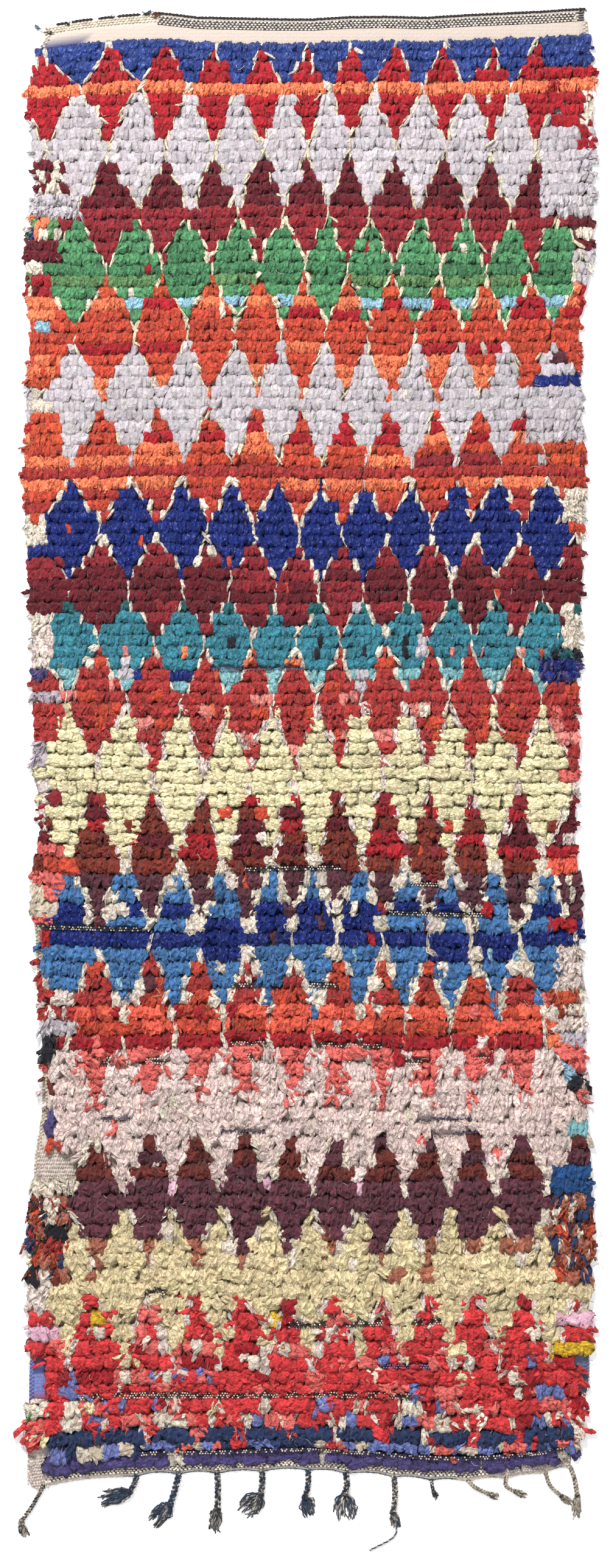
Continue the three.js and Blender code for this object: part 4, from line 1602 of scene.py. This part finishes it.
class RUNNER_OT_fringe(Operator):
    """Braids the warp ends along the lower end, each with its knot and its tail of loose yarns"""

    bl_idname = "runner.braid_fringe"
    bl_label = "Braid fringe"

    def execute(self, context):
        sizes = context.scene.runner_sizes
        colours = colours_now()
        rng = np.random.default_rng(51)
        braids, tails = Heap(), Heap()
        edge_line(braids, colours, rng)
        for index, braid in enumerate(BRAIDS):
            x, y = to_frame(braid["root"], LENGTH)
            places = [np.array([x + a, y - 3 - b, 0]) for a, b in ((0, -3), braid["bend"], braid["knot"])]
            add_braid(braids, places, braid, colours, rng)
            add_tail(tails, places[-1], braid, sizes.tail_yarns, colours, rng)
            if index == TAIL_TWIST["braid"]:
                add_twist(braids, places[-1], colours)
        for name, heap in (("warp_braids", braids), ("braid_tails", tails)):
            piece = heap.build(name)
            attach(piece, "root")
            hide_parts("braided_fringe")
        return {"FINISHED"}


def yarn_mix(braid, form, steps, colours, rng):
    """The colours along one yarn of a braid, mottled from the yarns it is made of."""
    rings = rings_of(form, steps)
    names = rng.choice(braid["yarns"].split(), int(rings.max()) + 1)
    shown = np.array([colours[name] for name in names]) * rng.uniform(0.35, 1.3, (len(names), 1))
    main = colours[rng.choice(braid["yarns"].split())]
    mottled = np.where(rng.random((len(names), 1)) < 0.3, main, shown)
    return np.clip(mottled[rings], 0, 1)


def add_braid(heap, places, braid, colours, rng):
    """Three strands plaited along a line, each of two yarns, with a wrapped knot at the end."""
    long = sum(np.linalg.norm(b - a) for a, b in zip(places, places[1:]))
    steps = max(10, round(long / 1.5))
    line = smooth_line(places, steps + 1)
    run = np.linspace(0, long, steps + 1)
    along, aside = along_and_aside(line)
    thick, pitch = braid["thick"] * BRAID_THICK, braid["thick"] * BRAID_TURN
    form = model_yarn(5, steps)
    radius = thick * STRAND_THICK
    swing, ply_swing = thick * STRAND_SWING, 0.55 * radius
    for strand in range(3):
        phase = FULL_TURN * (run / pitch + strand / 3)
        for ply in range(2):
            twist = FULL_TURN * run / 5 + ply * HALF_TURN
            path = line + aside * (swing * np.sin(phase) + ply_swing * np.cos(twist))[:, None]
            path[:, 2] = radius * 1.75 + radius * 0.85 * np.sin(2 * phase) + ply_swing * np.sin(twist)
            lay_yarn(heap, form, path, radius * 0.68, yarn_mix(braid, form, steps, colours, rng))
    turns = 24
    wraps = model_yarn(4, turns)
    around = np.linspace(0, FULL_TURN * 3, turns + 1)
    shift = np.linspace(-2.5, 2.5, turns + 1)
    path = places[-1] + along[-1] * shift[:, None] + aside[-1] * (np.cos(around) * thick * 0.46)[:, None]
    path[:, 2] = thick * 0.42 + np.sin(around) * thick * 0.34
    lay_yarn(heap, wraps, path, 0.95, yarn_mix(braid, wraps, turns, colours, rng) * 0.5)


def add_tail(heap, knot, braid, count, colours, rng):
    """Loose yarns that fan out on the floor from a knot."""
    steps = 7
    form = model_yarn(4, steps)
    fan = braid["fan"]
    reach = np.array([braid["tail"][0], -braid["tail"][1], 0.0])
    aside = np.array([-reach[1], reach[0], 0]) / np.linalg.norm(reach)
    full = round(count * min(1, braid["thick"] / FULL_BRAID))
    for _ in range(round(full * TAIL_YARNS)):
        spread = rng.uniform(-1, 1)
        far = rng.uniform(0.45, 1.0)
        start = knot + aside * spread * fan * 0.25
        middle = start + reach * far * 0.5 + aside * spread * fan * 0.6
        end = start + reach * far + aside * spread * fan * 0.7
        middle[:2] += rng.normal(0, fan * 0.16, 2)
        end[:2] += rng.normal(0, fan * 0.14, 2)
        path = smooth_line([start, middle, end], steps + 1)
        path[:, :2] += rng.normal(0, 1.1, (steps + 1, 2))
        lift = rng.uniform(1.0, braid["thick"] * 0.5)
        path[:, 2] = 0.9 + lift * np.cos(np.linspace(0, 1, steps + 1) * HALF_TURN / 2) ** 1.3
        shown = yarn_mix(braid, form, steps, colours, rng) * rng.uniform(0.5, 1.1)
        thin = rng.uniform(1.3, 2.1) * np.linspace(1.05, 0.6, steps + 1)
        lay_yarn(heap, form, path, thin, np.clip(shown, 0, 1))


def add_twist(heap, knot, colours):
    """The long thin twist of two yarns that runs on past a knot."""
    steps = 48
    places = [knot] + [knot + np.array([a, -b, 0]) for a, b in (TAIL_TWIST["bend"], TAIL_TWIST["tip"])]
    line = smooth_line(places, steps + 1)
    form = model_yarn(5, steps)
    turn = np.linspace(0, FULL_TURN * 8, steps + 1)
    aside = along_and_aside(line)[1]
    for ply, name in enumerate(("indigo", "beige")):
        path = line + aside * (0.9 * np.cos(turn + ply * HALF_TURN))[:, None]
        path[:, 2] = 2.2 + 0.9 * np.sin(turn + ply * HALF_TURN)
        lay_yarn(heap, form, path, 1.2, colours[name] * 0.75)


def edge_line(heap, colours, rng):
    """The binding yarn along the lower end, dark between the dark braids, that their roots share."""
    steps = 300
    form = model_yarn(5, steps)
    across = np.linspace(float(edge_at("left", LENGTH)) + 4, float(edge_at("right", LENGTH)) - 4, steps + 1)
    x, y = to_frame(across, np.full(steps + 1, LENGTH))
    dark = (across > -330) & (across < 270)
    tones = np.where(dark[:, None], colours["indigo"] * 0.5, colours["canvas"] * 0.9)
    for ply in range(2):
        turn = across / 3.2 + ply * HALF_TURN
        path = np.stack([x, y - 2.2 + 0.9 * np.cos(turn), 2.0 + 0.8 * np.sin(turn)], axis=1)
        thin = np.where(dark, 0.6, 1.0) * rng.normal(1, 0.2, steps + 1)
        lay_yarn(heap, form, path, thin, tones[rings_of(form, steps)])


class RUNNER_OT_threads(Operator):
    """Scatters loose threads and torn wisps over the pile and along the edges"""

    bl_idname = "runner.scatter_threads"
    bl_label = "Scatter loose threads"

    def execute(self, context):
        colours = colours_now()
        rng = np.random.default_rng(61)
        heap = Heap()
        form = model_yarn(3, 6)
        for _ in range(context.scene.runner_sizes.threads):
            lower = rng.random() < 0.75
            down = rng.uniform(*(THREADS_LOWER if lower else THREADS_UPPER))
            if rng.random() < 0.35:
                side = "left" if rng.random() < 0.5 else "right"
                across = float(edge_at(side, down)) + rng.normal(0, 4)
                level = 5.0
            else:
                across = rng.uniform(*THREADS_ACROSS)
                level = 15.0 if lower else 12.0
            name = rng.choice(["cream", "pink_cream", "cream", "canvas", "beige"])
            add_thread(heap, form, across, down, rng.uniform(8, 22), level, colours[name], rng)
        add_long_thread(heap, colours["cream"])
        piece = heap.build("loose_threads")
        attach(piece, "root")
        return {"FINISHED"}


def add_thread(heap, form, across, down, long, level, colour, rng):
    """One loose thread with a random curl."""
    x, y = to_frame(across, down)
    way = rng.uniform(0, FULL_TURN)
    start = np.array([x, y, level])
    end = start + np.array([math.cos(way), math.sin(way), 0]) * long
    bend = (start + end) / 2 + np.array([-math.sin(way), math.cos(way), 0]) * rng.normal(0, 0.3) * long
    path = smooth_line([start, bend, end], 7)
    path[:, 2] += 1.6 * np.sin(np.linspace(0, HALF_TURN, 7)) - 1.2
    lay_yarn(heap, form, path, rng.uniform(0.4, 0.65), colour)


def add_long_thread(heap, colour):
    """The long thread that lies over the lower left margin."""
    steps = 24
    form = model_yarn(4, steps)
    places = [(-452, 2098), (-462, 2118), (-458, 2140), (-468, 2160), (-470, 2178)]
    path = smooth_line([(*to_frame(across, down), 13.0) for across, down in places], steps + 1)
    lay_yarn(heap, form, path, 1.0, colour)


class RUNNER_OT_stage(Operator):
    """Sets the pale floor, the soft lights and the camera straight above"""

    bl_idname = "runner.set_stage"
    bl_label = "Set stage"

    def execute(self, context):
        scene = context.scene
        clear_selection()
        bpy.ops.mesh.primitive_plane_add(size=60, location=(0, 0, 0))
        floor = context.object
        floor.name = "floor"
        floor.data.materials.append(floor_material())
        scene.view_settings.view_transform = "Standard"
        scene.view_settings.look = "None"
        scene.view_settings.exposure = 0
        scene.view_settings.gamma = 1
        scene.world = bpy.data.worlds.new("soft_sky")
        scene.world.use_nodes = True
        sky = scene.world.node_tree.nodes["Background"]
        sky.inputs["Color"].default_value = (1, 1, 1, 1)
        sky.inputs["Strength"].default_value = 0.5
        add_softbox("key", place=(-1.6, 4.4, 4.2), aim=(0, 0.1, 0), size=1.0, power=560)
        add_softbox("fill", place=(1.5, -4.2, 4.5), aim=(0, 0, 0), size=3.5, power=60)
        wide, high = FRAME_PIXELS
        distance = FRAME_WIDTH * high / wide * MM * CAMERA_LENS / CAMERA_SENSOR
        place = (CENTRE_LINE * MM, FRAME_MIDDLE * MM, distance)
        bpy.ops.object.camera_add(location=place, rotation=(0, 0, 0))
        camera = context.object
        camera.name = "overhead_camera"
        camera.data.lens = CAMERA_LENS
        camera.data.sensor_width = CAMERA_SENSOR
        camera.data.sensor_fit = "AUTO"
        camera.data.clip_start = 0.1
        camera.data.clip_end = 100
        scene.camera = camera
        return {"FINISHED"}


def floor_material():
    """Backlit white acrylic: an even white with no gloss, on which shadows stay faint."""
    material, tree = new_material("backlit_white_acrylic")
    surface = {
        "Base Color": (*hex_colour("#fbfbfb"), 1),
        "Roughness": 1.0,
        "Specular IOR Level": 0.0,
        "Emission Color": (1, 1, 1, 1),
        "Emission Strength": 0.3,
    }
    shader = add_node(tree, "ShaderNodeBsdfPrincipled", surface)
    add_node(tree, "ShaderNodeOutputMaterial", {"Surface": shader})
    return material


def add_softbox(name, place, aim, size, power):
    """A square softbox that faces a point."""
    bpy.ops.object.light_add(type="AREA", location=place)
    box = bpy.context.object
    box.name = name
    box.data.shape = "SQUARE"
    box.data.size = size
    box.data.energy = power
    way = Vector(aim) - Vector(place)
    box.rotation_mode = "QUATERNION"
    box.rotation_quaternion = way.to_track_quat("-Z", "Y")


STEPS = (
    "set_stage",
    "lay_ground",
    "weave_ends",
    "wrap_selvedges",
    "knot_pile",
    "twine_edging",
    "braid_fringe",
    "scatter_threads",
)


class RUNNER_PT_panel(Panel):
    """Lists the runner's sizes, colours and making steps"""

    bl_label = "Boujad runner"
    bl_idname = "RUNNER_PT_panel"
    bl_space_type = "VIEW_3D"
    bl_region_type = "UI"
    bl_category = "Runner"

    def draw(self, context):
        layout = self.layout
        for step in STEPS:
            layout.operator("runner." + step)
        for settings in (context.scene.runner_sizes, context.scene.runner_colours):
            box = layout.box()
            for key in settings.__annotations__:
                box.prop(settings, key)


CLASSES = (
    RunnerSizes,
    RunnerColours,
    RUNNER_OT_stage,
    RUNNER_OT_ground,
    RUNNER_OT_end_weave,
    RUNNER_OT_selvedges,
    RUNNER_OT_pile,
    RUNNER_OT_edging,
    RUNNER_OT_fringe,
    RUNNER_OT_threads,
    RUNNER_PT_panel,
)


def register():
    for cls in CLASSES:
        bpy.utils.register_class(cls)
    bpy.types.Scene.runner_sizes = PointerProperty(type=RunnerSizes)
    bpy.types.Scene.runner_colours = PointerProperty(type=RunnerColours)


def unregister():
    del bpy.types.Scene.runner_colours
    del bpy.types.Scene.runner_sizes
    for cls in reversed(CLASSES):
        bpy.utils.unregister_class(cls)


def main():
    """Makes the runner step by step."""
    register()
    for step in STEPS:
        getattr(bpy.ops.runner, step)()
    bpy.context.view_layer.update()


if __name__ == "__main__":
    main()
